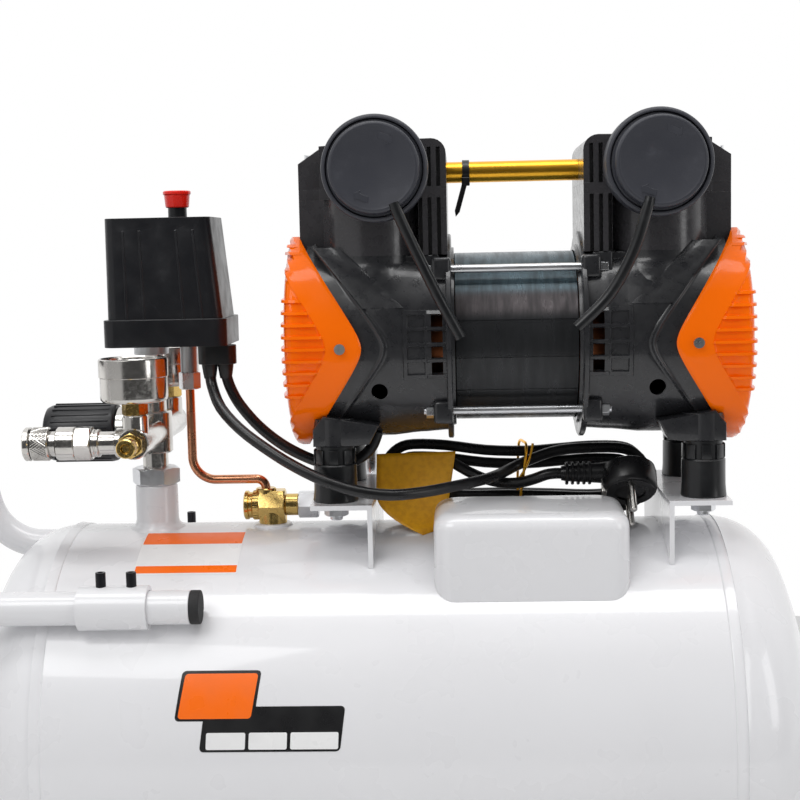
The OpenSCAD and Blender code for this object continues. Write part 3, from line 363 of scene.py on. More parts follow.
def dressed(obj, material):
    """Gives an object one material in place of those that it has."""
    obj.data.materials.clear()
    obj.data.materials.append(material)


def rounded_copy(node, material, width=0.0006, segments=2):
    """A merged copy of a solid with softened edges, which stands for the solid."""
    bm = bmesh.new()
    bm.from_mesh(frame["nodes"][node].data)
    bmesh.ops.remove_doubles(bm, verts=bm.verts, dist=2e-6)
    bmesh.ops.dissolve_limit(bm, angle_limit=math.radians(0.6), verts=bm.verts, edges=bm.edges)
    obj = from_bmesh(node + "_visible", bm, None, 30)
    dressed(obj, finish(material))
    if width:
        bevel = obj.modifiers.new("soft edges", "BEVEL")
        bevel.width = width
        bevel.segments = segments
        bevel.limit_method = "ANGLE"
        bevel.angle_limit = math.radians(32)
        bevel.harden_normals = True
        baked(obj)
    return settle(obj, node)


def plain(*pairs):
    """Gives solids that keep their shape a finish and softened edges."""
    for node, material in pairs:
        rounded_copy(node, material, bpy.context.scene.compressor_look.edge)


def lathe(profile, steps=96, start=(0, 0, 0), axis="X"):
    """A round of (distance, radius) points in millimetres about an axis through start.

    A third number cuts six flats that far out.
    """
    bm = bmesh.new()
    base, shift, sixth = Vector(start), "XYZ".index(axis), math.tau / 6

    def corner(d, r, a):
        point = (d, r * math.cos(a), r * math.sin(a))
        return bm.verts.new(base + Vector(point[-shift:] + point[:-shift] if shift else point))

    rings = []
    for d, r, *flat in ([c / 1000 for c in point] for point in profile):
        angles = [math.tau * k / steps for k in range(steps if r > 1e-9 else 1)]
        rings.append([corner(d, min(r, flat[0] / math.cos(a % sixth - sixth / 2)) if flat else r, a)
                      for a in angles])
    for first, second in zip(rings, rings[1:]):
        n, m = len(first), len(second)
        for k in range(steps if max(n, m) > 1 else 0):
            face = (first[k % n], second[k % m], second[(k + 1) % m], first[(k + 1) % n])
            bm.faces.new(dict.fromkeys(face))
    bmesh.ops.recalc_face_normals(bm, faces=bm.faces)
    return bm


# Properties
class CompressorLook(bpy.types.PropertyGroup):
    """Colours of the painted and moulded pieces."""
    enamel_colour: FloatVectorProperty(
        name="Enamel", description="Powder coat of the tank, handle and brackets",
        default=(0.8, 0.8, 0.82), subtype="COLOR", min=0, max=1)
    cover_colour: FloatVectorProperty(
        name="Covers", description="Gloss plastic of the pump's end covers",
        default=(1.0, 0.16, 0.0), subtype="COLOR", min=0, max=1)
    edge: FloatProperty(
        name="Edge", description="Softening of moulded and cast edges",
        default=0.0007, unit="LENGTH", min=0, max=0.002)
    ridges: IntProperty(
        name="Knob ridges", description="Number of grip ridges round the regulator knob",
        default=24, min=6, max=60)
    treads: IntProperty(
        name="Tread blocks", description="Number of tread blocks round each tyre",
        default=36, min=12, max=72)
    light: FloatProperty(
        name="Light", description="Level of the studio lamps", default=1.0, min=0, max=3)


class CompressorOperator:
    """Shared settings of the operators that follow."""
    bl_options = {"REGISTER", "UNDO"}


# Stage
class COMPRESSOR_OT_stage(CompressorOperator, bpy.types.Operator):
    """Add the floor, the studio lamps, the world and the camera"""
    bl_idname = "compressor.stage"
    bl_label = "Stage"

    def execute(self, context):
        scene = context.scene
        scene.view_settings.view_transform = "Standard"
        bm = bmesh.new()
        bmesh.ops.create_circle(bm, cap_ends=True, segments=96, radius=1.15)
        floor = from_bmesh("floor", bm, None, 0)
        f = Finish("pale floor")
        f.put(base_color=f.blend(f.noise(2.0), (0.82, 0.82, 0.82), (0.8, 0.8, 0.8)), roughness=0.6)
        floor.data.materials.append(f.material)
        self.world(scene)
        level = context.scene.compressor_look.light
        self.lamp("key", (-0.9, -1.5, 2.0), (0.05, 0, 0.35), (1.2, 0.8), 12.5 * level)
        self.lamp("fill", (1.9, -1.1, 0.9), (0.1, 0, 0.35), (0.5, 1.3), 5 * level)
        self.lamp("top", (0.1, -0.35, 2.1), (0.1, 0, 0.4), (1.8, 0.5), 13.5 * level)
        self.camera(scene)
        return {"FINISHED"}

    def world(self, scene):
        """A white backdrop all round, whose front half is dimmer in reflections."""
        world = bpy.data.worlds.new("studio")
        world.use_nodes = True
        scene.world = world
        nodes = Nodes(world.node_tree)
        seen = nodes.add("ShaderNodeLightPath", output="Is Camera Ray")
        seen = seen.larger(nodes.add("ShaderNodeLightPath", output="Is Transmission Ray"))
        mirrored = nodes.add("ShaderNodeLightPath", output="Is Glossy Ray")
        towards = nodes.add("ShaderNodeTexCoord", output="Generated")
        room = nodes.add("ShaderNodeSeparateXYZ", None, {0: towards}, "Y").ramp(-0.35, 0.25, 0.07, 1.0)
        overhead = nodes.add("ShaderNodeSeparateXYZ", None, {0: towards}, "Z").ramp(0.7, 0.88, 0.0, 0.8)
        screen = nodes.add("ShaderNodeSeparateXYZ", None, {0: towards}, "X").ramp(-0.5, -0.32, 0.5, 0.0)
        room = room.larger(overhead).larger(screen)
        strength = seen + (1 - seen) * (mirrored * room + (1 - mirrored) * 0.54)
        back = world.node_tree.nodes["Background"]
        world.node_tree.links.new(strength.socket, back.inputs["Strength"])
        back.inputs["Color"].default_value = (1, 1, 1, 1)

    def lamp(self, name, place, target, size, power):
        data = bpy.data.lights.new(name, "AREA")
        data.shape = "RECTANGLE"
        data.size, data.size_y = size
        data.energy = power
        obj = bpy.data.objects.new(name, data)
        obj.location = place
        obj.rotation_euler = (Vector(target) - Vector(place)).to_track_quat("-Z", "Y").to_euler()
        bpy.context.scene.collection.objects.link(obj)

    def camera(self, scene):
        yaw, pitch, roll = math.radians(2.44), math.radians(5.92), -0.0217
        forward = Vector((-math.sin(yaw) * math.cos(pitch), math.cos(yaw) * math.cos(pitch),
                          -math.sin(pitch)))
        right0 = Vector((math.cos(yaw), math.sin(yaw), 0))
        up0 = right0.cross(forward)
        right = math.cos(roll) * right0 + math.sin(roll) * up0
        up = right.cross(forward)
        data = bpy.data.cameras.new("camera")
        data.lens = 67.1
        data.sensor_width = 36
        obj = bpy.data.objects.new("camera", data)
        turned = Matrix((right, up, -forward)).transposed().to_4x4()
        obj.matrix_world = Matrix.Translation(at(48.0, -946.6, 302.7)) @ turned
        scene.collection.objects.link(obj)
        scene.camera = obj


# Shapes
def sheet_grid(rows, closed_rows=False, closed_columns=False):
    """A bmesh over rows of points, all of the same length."""
    bm = bmesh.new()
    verts = [[bm.verts.new(p) for p in row] for row in rows]
    row_count, column_count = len(verts), len(verts[0])
    for i in range(row_count if closed_rows else row_count - 1):
        for k in range(column_count if closed_columns else column_count - 1):
            a, b = verts[i], verts[(i + 1) % row_count]
            k2 = (k + 1) % column_count
            bm.faces.new((a[k], b[k], b[k2], a[k2]))
    return bm


def tidy_faces(bm, dist=1e-5):
    """Joins doubles, drops faces without area and turns the faces outwards."""
    bmesh.ops.remove_doubles(bm, verts=bm.verts, dist=dist)
    bmesh.ops.dissolve_degenerate(bm, dist=dist / 2, edges=bm.edges)
    bmesh.ops.recalc_face_normals(bm, faces=bm.faces)
    return bm


def sweep(path, radius, steps=16, inner=0.0, radii=None):
    """A round tube along a path. With an inner radius it is open at its far end."""
    points = [Vector(p) for p in path]
    bm = bmesh.new()
    side = None
    rings = []
    for i, p in enumerate(points):
        along = (points[min(i + 1, len(points) - 1)] - points[max(i - 1, 0)]).normalized()
        if side is None:
            side = along.cross(Vector((0, 0, 1)) if abs(along.z) < 0.9 else Vector((1, 0, 0)))
        side = (side - along * side.dot(along)).normalized()
        other = along.cross(side)
        r = radii[i] if radii else radius
        rings.append([bm.verts.new(p + (side * math.cos(t) + other * math.sin(t)) * r)
                      for t in (math.tau * k / steps for k in range(steps))])
    mouth = rings[-1]
    for depth in (0, 0.002, 0.006) if inner else ():
        centre = points[-1] - (points[-1] - points[-2]).normalized() * depth
        rings.append([bm.verts.new(centre + (v.co - points[-1]).normalized() * inner) for v in mouth])
    for a, b in zip(rings, rings[1:]):
        for k in range(steps):
            k2 = (k + 1) % steps
            bm.faces.new((a[k], a[k2], b[k2], b[k]))
    bm.faces.new(rings[0][::-1])
    bm.faces.new(rings[-1])
    bmesh.ops.recalc_face_normals(bm, faces=bm.faces)
    return bm


def through(points, per=8):
    """A smooth line through points."""
    pts = [Vector(p) for p in points]
    out = []
    for i in range(len(pts) - 1):
        a, b, c, d = pts[max(i - 1, 0)], pts[i], pts[i + 1], pts[min(i + 2, len(pts) - 1)]
        for k in range(per):
            t = k / per
            out.append(0.5 * (2 * b + (c - a) * t + (2 * a - 5 * b + 4 * c - d) * t * t
                              + (3 * b - a - 3 * c + d) * t ** 3))
    return out + [pts[-1]]


def span(line):
    """The length of a line of points."""
    return sum((b - a).length for a, b in zip(line, line[1:]))


def joined(name, meshes, material, smooth=35.0):
    """One object from several bmeshes."""
    whole = bmesh.new()
    for bm in meshes:
        part = bpy.data.meshes.new("part")
        bm.to_mesh(part)
        bm.free()
        whole.from_mesh(part)
        bpy.data.meshes.remove(part)
    return from_bmesh(name, whole, material, smooth)


def stand_in(node, material, meshes, smooth=35.0, name=None):
    """The piece that shows a solid, made of several bmeshes."""
    return settle(joined((name or node) + "_visible", meshes, finish(material), smooth), node)


def moved(bm, *matrices):
    """The same bmesh after each matrix in turn."""
    for matrix in matrices:
        bmesh.ops.transform(bm, matrix=matrix, verts=bm.verts)
    return bm


def eased(bm, edges, width, segments):
    """The same bmesh with some of its edges rounded."""
    if width:
        bmesh.ops.bevel(bm, geom=edges, offset=width, segments=segments, profile=0.5, affect="EDGES",
                        clamp_overlap=True)
    return bm


def solid_box(low, high, edge=0.0, segments=3):
    """A box between two corners with rounded edges, as a bmesh."""
    low, high = Vector(map(min, low, high)), Vector(map(max, low, high))
    bm = bmesh.new()
    bmesh.ops.create_cube(bm, size=1.0)
    for v in bm.verts:
        v.co = Vector(((low + high) / 2)[i] + v.co[i] * (high - low)[i] for i in range(3))
    return eased(bm, list(bm.edges), edge, segments)


def prism(outline, axis, low, high, edge=0.0, segments=2):
    """An outline of two coordinates, extruded along the third, as a bmesh."""
    bm = bmesh.new()
    place = {"X": lambda u, v, w: (w, u, v), "Y": lambda u, v, w: (u, w, v),
             "Z": lambda u, v, w: (u, v, w)}[axis]
    ends = [[bm.verts.new(place(u, v, w)) for u, v in outline] for w in (low, high)]
    n = len(outline)
    for k in range(n):
        bm.faces.new((ends[0][k], ends[0][(k + 1) % n], ends[1][(k + 1) % n], ends[1][k]))
    caps = [bm.faces.new(ends[0][::-1]), bm.faces.new(ends[1])]
    bmesh.ops.recalc_face_normals(bm, faces=bm.faces)
    return eased(bm, list({e for f in caps for e in f.edges}), edge, segments)


def rounded_outline(x0, y0, x1, y1, r, steps=6):
    """A rectangle with rounded corners."""
    corners = ((x1 - r, y1 - r, 0), (x0 + r, y1 - r, 90), (x0 + r, y0 + r, 180), (x1 - r, y0 + r, 270))
    return [(cx + r * math.cos(math.radians(a + 90 * k / steps)),
             cy + r * math.sin(math.radians(a + 90 * k / steps)))
            for cx, cy, a in corners for k in range(steps + 1)]


def step_between(x, low, high):
    """0 below low, 1 above high, smooth between."""
    t = min(1.0, max(0.0, (x - low) / (high - low)))
    return t * t * (3 - 2 * t)


# Geometry nodes
def repeat_tree():
    """Copies of a shape, each turned and moved on from the last, then placed."""
    if "repeat along" in bpy.data.node_groups:
        return bpy.data.node_groups["repeat along"]
    tree = bpy.data.node_groups.new("repeat along", "GeometryNodeTree")
    for name, kind in (("Shape", "Geometry"), ("Count", "Int"), ("Step", "Vector"), ("Turn", "Vector"),
                       ("Place", "Vector"), ("Material", "Material")):
        tree.interface.new_socket(name, in_out="INPUT", socket_type="NodeSocket" + kind)
    tree.interface.new_socket("Geometry", in_out="OUTPUT", socket_type="NodeSocketGeometry")
    kinds = ("NodeGroupInput", "NodeGroupOutput", "GeometryNodePoints", "GeometryNodeInputIndex",
             "ShaderNodeVectorMath", "ShaderNodeVectorMath", "FunctionNodeEulerToRotation",
             "GeometryNodeInstanceOnPoints", "GeometryNodeRealizeInstances", "GeometryNodeTransform",
             "GeometryNodeSetMaterial")
    start, end, points, index, move, turn, euler, copies, real, placed, paint = map(tree.nodes.new, kinds)
    move.operation = turn.operation = "SCALE"
    for node, output, target, socket in (
            (start, "Count", points, "Count"), (start, "Step", move, 0), (index, 0, move, "Scale"),
            (move, 0, points, "Position"), (start, "Turn", turn, 0), (index, 0, turn, "Scale"),
            (turn, 0, euler, 0), (points, 0, copies, "Points"), (start, "Shape", copies, "Instance"),
            (euler, 0, copies, "Rotation"), (copies, 0, placed, "Geometry"),
            (start, "Place", placed, "Translation"), (placed, 0, real, 0), (real, 0, paint, "Geometry"),
            (start, "Material", paint, "Material"), (paint, 0, end, 0)):
        tree.links.new(node.outputs[output], target.inputs[socket])
    return tree


def repeated(name, bm, count, material, step=(0, 0, 0), turn=(0, 0, 0), place=(0, 0, 0), smooth=35.0):
    """count copies of a shape, made with Geometry Nodes and turned into a plain mesh."""
    obj = from_bmesh(name, bm, None, smooth)
    tree = repeat_tree()
    modifier = obj.modifiers.new("repeat", "NODES")
    modifier.node_group = tree
    values = {"Count": count, "Step": step, "Turn": turn, "Place": tuple(place), "Material": material}
    for item in tree.interface.items_tree:
        if item.in_out == "INPUT" and item.name in values:
            modifier[item.identifier] = values[item.name]
    return baked(obj)


# Cords
CABLE_Z = 236.0
MOTOR_ROUTE = [(-101, -16, 0), (-101, -16, -5.5), (-101, -16, -11), (-98, -16.6, -20.8),
               (-91.8, -18, -31.7), (-80, -20, -45), (-64.9, -21.6, -56.8), (-48, -22, -65.6),
               (-33, -22, -70), (-23.4, -22.6, -68.2), (-15.2, -24, -63.8), (-9.6, -24.9, -58.2),
               (-6.8, -25, -52.3), (-5.6, -25, -48.6)]
MAINS_ROUTE = [(-111, -16, 0), (-111, -16, -5.5), (-111, -16, -11), (-109.2, -19.2, -19.5),
               (-102.4, -31, -31.4), (-89.3, -42, -43.4), (-73, -51, -54.2), (-54.8, -58.5, -64.5),
               (-35.8, -63, -73.2), (-16.6, -64, -79.4), (3.6, -60, -82.8), (23.2, -50, -82.9),
               (42, -36, -81.8), (58.9, -20, -80.8), (67, -11, -79.8), (72.6, -3, -78.8)]
PLUG_ROUTE = [(62, 4.6, -84.3), (73, 1.2, -86.2), (83, -2.6, -85.6), (92, -6.4, -82.8), (99.5, -8.7, -79.8),
              (105, -9, -79), (108.5, -9, -79), (112, -9, -79)]


def hank_turn():
    """Outer turn of the hank, clockwise from its lower left, as x and z."""
    def end(x, z, start):
        angles = (math.radians(start - 30 * k) for k in range(7))
        return [(x + 19.5 * math.cos(a), z + 19.5 * math.sin(a)) for a in angles]

    top = [(36, 172.2), (62, 168.6), (88, 167.6), (110, 169), (128, 170.2)]
    return ([(54, 132), (34, 132.8)] + end(15, 153.7, 270) + top + end(146, 150.5, 90)
            + [(128, 130), (104, 131), (76, 132)])


HANK_TURN = hank_turn()


def hank_point(k, inset, y):
    """Point k of the hank's turn, moved inwards by inset, at depth y."""
    before, (x, z), after = (HANK_TURN[(k + step) % len(HANK_TURN)] for step in (-1, 0, 1))
    dx, dz = after[0] - before[0], after[1] - before[1]
    size = math.hypot(dx, dz)
    return (x + inset * dz / size, y, z - inset * dx / size)


def mains_line():
    """The whole mains cord: gland, hank, plug."""
    n = len(HANK_TURN)
    points = [(x, y, z + CABLE_Z) for x, y, z in MAINS_ROUTE] + [(82, 5.5, 160.5), (96, 9.6, 165.5)]
    # each turn of the hank: its inset, its depth, its first and last point, where it starts to change lane
    turns = ((0.0, 11.8, 12, n, 0.74), (0.0, 20.6, 0, n, 0.62), (8.2, 20.6, 0, n, 0.5), (8.2, 11.8, 0, 10, 2))
    for (inset, y, first, last, part), (inset2, y2, *_) in zip(turns, turns[1:] + turns[-1:]):
        for k in range(first, last):
            t = step_between(k, part * n, part * n + 0.24 * n)
            points.append(hank_point(k, inset + (inset2 - inset) * t, y + (y2 - y) * t))
    return points + [(50, 9.0, 156.5)] + [(x, y, z + CABLE_Z) for x, y, z in PLUG_ROUTE]


def cord_curve(name, points, radius):
    """A cord as one open spline with a round section, and its length."""
    curve = bpy.data.curves.new(name, "CURVE")
    curve.dimensions = "3D"
    curve.bevel_depth = radius
    curve.bevel_resolution = 5
    curve.use_fill_caps = True
    line = through([at(*p) for p in points], 3)
    spline = curve.splines.new("POLY")
    spline.points.add(len(line) - 1)
    for point, place in zip(spline.points, line):
        point.co = (*place, 1.0)
    spline.use_smooth = True
    obj = bpy.data.objects.new(name, curve)
    bpy.context.scene.collection.objects.link(obj)
    curve.materials.append(finish("cable"))
    return obj, span(line)


class COMPRESSOR_OT_cables(CompressorOperator, bpy.types.Operator):
    """Add the mains cord with its hank and plug, the motor cable, the ties and the tag"""
    bl_idname = "compressor.cables"
    bl_label = "Cables"

    def execute(self, context):
        plug = self.plug()
        cord, length = cord_curve("mains_cord_visible", mains_line(), CORD_R)
        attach(cord, "chassis")
        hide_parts("mains_cord", "mains_cord_hank")
        start = at(-111, -16, CABLE_Z)
        line = through([at(x, y, z + CABLE_Z) for x, y, z in MOTOR_ROUTE], 6)
        motor = from_bmesh("motor_cable_visible", sweep(line, CORD_R, 20), finish("cable"), 60)
        settle(motor, "motor_cable")
        round(span(line), 3)
        reliefs = []
        for x in (-111, -101):
            path = [at(x, -16, z) for z in (237, 233, 229, 225, 222)]
            reliefs.append(sweep(path, 0.005, 20, radii=[0.0056, 0.0054, 0.0049, 0.0043, 0.00375]))
        beside(joined("cable_reliefs", reliefs, finish("rubber"), 50), "cable_gland")
        self.ties()
        self.tag()
        return {"FINISHED"}

    def plug(self):
        tilt = Matrix.Rotation(math.radians(-40), 4, "X")
        place = Matrix.Translation(at(151.5, -11.5, 153.5)) @ tilt
        body = lathe([(-10, 0), (-10, 15.2), (-9, 16.6), (-7, 17.3), (3, 17.5), (6.4, 16.8),
                         (8, 14.6), (8, 0)], 64, axis="Z")
        rim = lathe([(-10.6, 9.5), (-10.6, 15.2), (-10, 15.5), (-9.8, 9.5)], 64, axis="Z")
        neck = sweep([at(x, -9, 157) for x in (109, 113, 118, 126, 134, 142)], 0.006, 24,
                     radii=[0.0045, 0.0052, 0.0055, 0.006, 0.0066, 0.0075])
        body = joined("plug_body", [moved(body, place), moved(rim, place), neck], finish("cable"), 40)
        rib = lathe([(-0.9, 5.4), (-0.9, 6.9), (-0.5, 7.3), (0.5, 7.3), (0.9, 6.9), (0.9, 5.4),
                        (-0.9, 5.4)], 32)
        ribs = repeated("plug_ribs", rib, 5, finish("cable"), step=(0.0036, 0, 0), place=at(112.5, -9, 157))
        pin = [(-29, 0), (-29, 1.5), (-28.2, 2.3), (-27, 2.4), (-9.8, 2.4)]
        metal_parts = [lathe(pin, 24, (0, side * 0.0095, 0), "Z") for side in (-1, 1)]
        metal_parts.append(solid_box((-0.0178, -0.003, -0.0112), (-0.0145, 0.003, 0.004), 0.0006))
        pins = joined("plug_pins", [moved(bm, place) for bm in metal_parts], finish("nickel"), 40)
        for piece in (body, ribs, pins):
            beside(piece, "mains_plug")
        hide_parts("mains_plug")
        return [body, ribs, pins]

    def ties(self):
        band = [(85, 2.6, 148), (86.4, 0.9, 160), (88, 4.5, 172.5), (86.5, 14, 174.6), (84, 26, 172),
                (83, 28, 150), (82.4, 26, 130), (82, 12, 127.5), (82.6, 5, 130), (84, 2.6, 142),
                (85, 2.4, 150)]
        wire = sweep(through([at(*p) for p in band], 4), 0.0009, 8)
        tails = [sweep(through([at(86, 1.2, 157), at(90, 1, 166), at(92, 1.5, 175)], 4), 0.0008, 8),
                 sweep(through([at(86, 1.2, 157), at(83, 0.8, 152), at(82, 1, 145)], 4), 0.0008, 8)]
        beside(joined("hank_tie", [wire] + tails, finish("gold"), 60), "tie_rods")
        ring = lathe([(-2.2, 6.55), (-2.2, 7.6), (2.2, 7.6), (2.2, 6.55), (-2.2, 6.55)], 48,
                     at_pump(-29, 0, INTAKE_Z))
        tail = prism([(0, 0), (3.2, 0), (3.2, -19), (1.6, -22.5), (0, -19)], "Y", -0.7, 0.7)
        lean = Matrix.Translation(at_pump(-31, -8.6, 97)) @ Matrix.Rotation(math.radians(16), 4, "Y")
        moved(tail, MILLIMETRES, lean)
        knot = solid_box(at_pump(-31.6, -9.6, 94), at_pump(-26.6, -6.2, 99.4), 0.0006)
        beside(joined("crossover_tie", [ring, tail, knot], finish("rubber"), 40), "cable_gland")

    def tag(self):
        rows = []
        for i in range(17):
            u = i / 16
            row = []
            for k in range(13):
                v = k / 12
                left = -8.6 + 30 * (2 * max(0.0, u - 0.5)) ** 2
                x = left + (42.6 - 7.6 * u - left) * v
                foot = -28 + 11 * v
                y = 7.2 + (foot - 7.2) * u ** 1.3 + 1.2 * u * (1 - u) * math.sin(5 * v)
                top, bottom = 168.9 + v, math.sqrt(125.5 ** 2 - foot ** 2)
                row.append(at(x, y, top + (bottom - top) * u))
            rows.append(row)
        sheet = from_bmesh("tag", sheet_grid(rows), None, 0)
        thick = sheet.modifiers.new("thickness", "SOLIDIFY")
        thick.thickness = 0.0003
        baked(sheet)
        sheet.data.shade_smooth()
        f = Finish("amber card")
        fibre = f.noise(300.0, 4.0)
        f.put(base_color=f.blend(fibre.ramp(0.35, 0.7), (0.86, 0.42, 0.01), (0.74, 0.33, 0.008)),
              roughness=fibre.ramp(0.3, 0.7, 0.45, 0.6))
        dressed(sheet, f.bumped(fibre, 0.00008).material)
        beside(sheet, "end_covers")


# Tank
class COMPRESSOR_OT_tank(CompressorOperator, bpy.types.Operator):
    """Add the tank with its seams and sockets, its bare panels and the capacitor box"""
    bl_idname = "compressor.tank"
    bl_label = "Tank"

    def execute(self, context):
        self.shell()
        self.box()
        self.panels()
        return {"FINISHED"}

    def head(self):
        """Half of the tank's outline from the skirt to the crown."""
        flat, depth, knuckle, end = 85.0, 57.0, 40.0, 262.5
        crown = (flat ** 2 + depth ** 2 - knuckle ** 2) / (2 * (depth - knuckle))
        split = math.atan2(flat, crown - depth)
        start = end - depth
        out = []
        for i in range(15):
            a = (math.pi / 2 - split) * i / 14
            out.append((start + knuckle * math.sin(a), flat + knuckle * math.cos(a)))
        for i in range(1, 19):
            a = split * (1 - i / 18)
            out.append((end - crown + crown * math.cos(a), crown * math.sin(a)))
        return out

    def shell(self):
        right = self.head()
        bead = [(199.0, 125.0), (199.4, 125.5), (200.0, 125.75), (205.5, 125.72)]
        profile = bead[::-1]
        profile = [(-d, r) for d, r in right[::-1]] + [(-d, r) for d, r in profile] + bead + right
        profile = [(d, r + (0.7 * (1 - step_between(abs(d), 206.5, 209.0)) if abs(d) > 205 else 0))
                   for d, r in profile]
        profile = sorted(set(profile))
        body = lathe(profile, 192, at(0, 0, 0))
        riser = lathe([(118, 13.5), (122, 19), (125.4, 17.6), (126.6, 15.4), (128, 14.2), (130, 13.6),
                          (151.6, 13.5), (152.6, 13.1), (153, 12.4), (153, 8.3), (140, 8.3)], 64,
                      at(RISER_X, 0, 0), "Z")
        stub = lathe([(118, 12), (125.6, 12.6), (126.2, 12), (126.5, 11.2), (126.5, 5.1), (120, 5.1)],
                     48, at(VALVE_X, 0, 0), "Z")
        drain = lathe([(-118, 12), (-136, 12), (-137, 11.2), (-137, 6.3), (-120, 6.3)], 48,
                      at(0, 0, 0), "Z")
        stand_in("tank", "white", [body, riser, stub, drain], 50)

    def box(self):
        outline = rounded_outline(29, -84, 145, -18, 12, 8)
        rows = []
        for x, y in outline:
            foot = math.sqrt(TANK_R ** 2 - y * y) + 0.15
            rows.append([(x, y, foot), (x, y, foot + 2)])
        radius = 9.0
        for n in range(9):
            a = math.pi / 2 * n / 8
            inset = radius * (1 - math.cos(a))
            for row, (x, y) in zip(rows, outline):
                cx, cy = 87 + (x - 87) * (1 - inset / 58), -51 + (y + 51) * (1 - inset / 33)
                top = 143.6 + (cy + 84) / 66 * 2.4
                row.append((cx, cy, top - radius + radius * math.sin(a)))
        cover = sheet_grid([[at(*p) for p in row] for row in rows], closed_rows=True)
        cover.verts.ensure_lookup_table()
        ends = [v for v in cover.verts if len(v.link_edges) == 3 and v.co.z > at(0, 0, 136).z]
        cover.faces.new(sorted(ends, key=lambda v: math.atan2(v.co.y - at(0, -51, 0).y,
                                                              v.co.x - at(87, 0, 0).x)))
        settle(from_bmesh("capacitor_box_visible", tidy_faces(cover), finish("white"), 40), "capacitor_box")

    def panels(self):
        """Bare panels on the front of the tank: dark, orange and white fields."""
        look = {"dark": (0.012, 0.012, 0.013), "amber": tuple(bpy.context.scene.compressor_look.cover_colour),
                "pale": (0.86, 0.86, 0.86)}
        fields = (
            ("rate_panel", "pale", (-154, 59, -91, 82), 1.0, 0.0, 0.12),
            ("rate_panel_band", "amber", (-153.6, 73.5, -91.4, 81.5), 0.5, 0.0, 0.18),
            ("rate_panel_foot", "amber", (-153.6, 59.5, -91.4, 62.5), 0.5, 0.0, 0.18),
            ("power_panel_back", "dark", (-119, 15.6, -73, 28.8), 2.5, -4.0, 0.12),
            ("power_panel", "amber", (-117.2, 16.2, -74.8, 28.0), 2.0, -4.0, 0.18),
            ("name_panel", "dark", (-105, 7.6, -24, 19.3), 2.5, -3.2, 0.16),
            ("field_1", "pale", (-102.6, 8.2, -80, 12.6), 1.0, -0.4, 0.22),
            ("field_2", "pale", (-78, 8.2, -56, 12.6), 1.0, -0.4, 0.22),
            ("field_3", "pale", (-54, 8.2, -26.5, 12.6), 1.0, -0.4, 0.22),
        )
        for name, colour, (x0, low, x1, high), corner, lean, lift in fields:
            r = TANK_R + lift
            s0, s1 = math.radians(low) * TANK_R, math.radians(high) * TANK_R
            outline = rounded_outline(x0, s0, x1, s1, corner, 4)
            outline = [(x + lean * (0.5 - (s - s0) / (s1 - s0)), s) for x, s in outline]
            bm = bmesh.new()
            bm.faces.new([bm.verts.new((x, s, 0)) for x, s in outline])
            s = s0 + 2
            while s < s1:
                bmesh.ops.bisect_plane(bm, geom=bm.verts[:] + bm.edges[:] + bm.faces[:],
                                       plane_co=(0, s, 0), plane_no=(0, 1, 0))
                s += 2
            for v in bm.verts:
                a = v.co.y / TANK_R
                v.co = at(v.co.x, -r * math.cos(a), r * math.sin(a))
            f = Finish(name)
            film = f.noise(60.0, 3.0)
            f.put(base_color=f.blend(film.ramp(0.4, 0.8), look[colour], shades(look[colour], 0.06)),
                  roughness=film.ramp(0.3, 0.7, 0.25, 0.4))
            beside(from_bmesh(name, bm, f.material, 60), "tank")


# Castings
VEE_Z = -2.6
BEAD_TIP = 80.0


def vee(z, tip, slope=0.82):
    """Distance from the pump's middle of a V-shaped line with a round point at height z."""
    return tip + slope * (math.hypot(z - VEE_Z, 8.0) - 8.0)


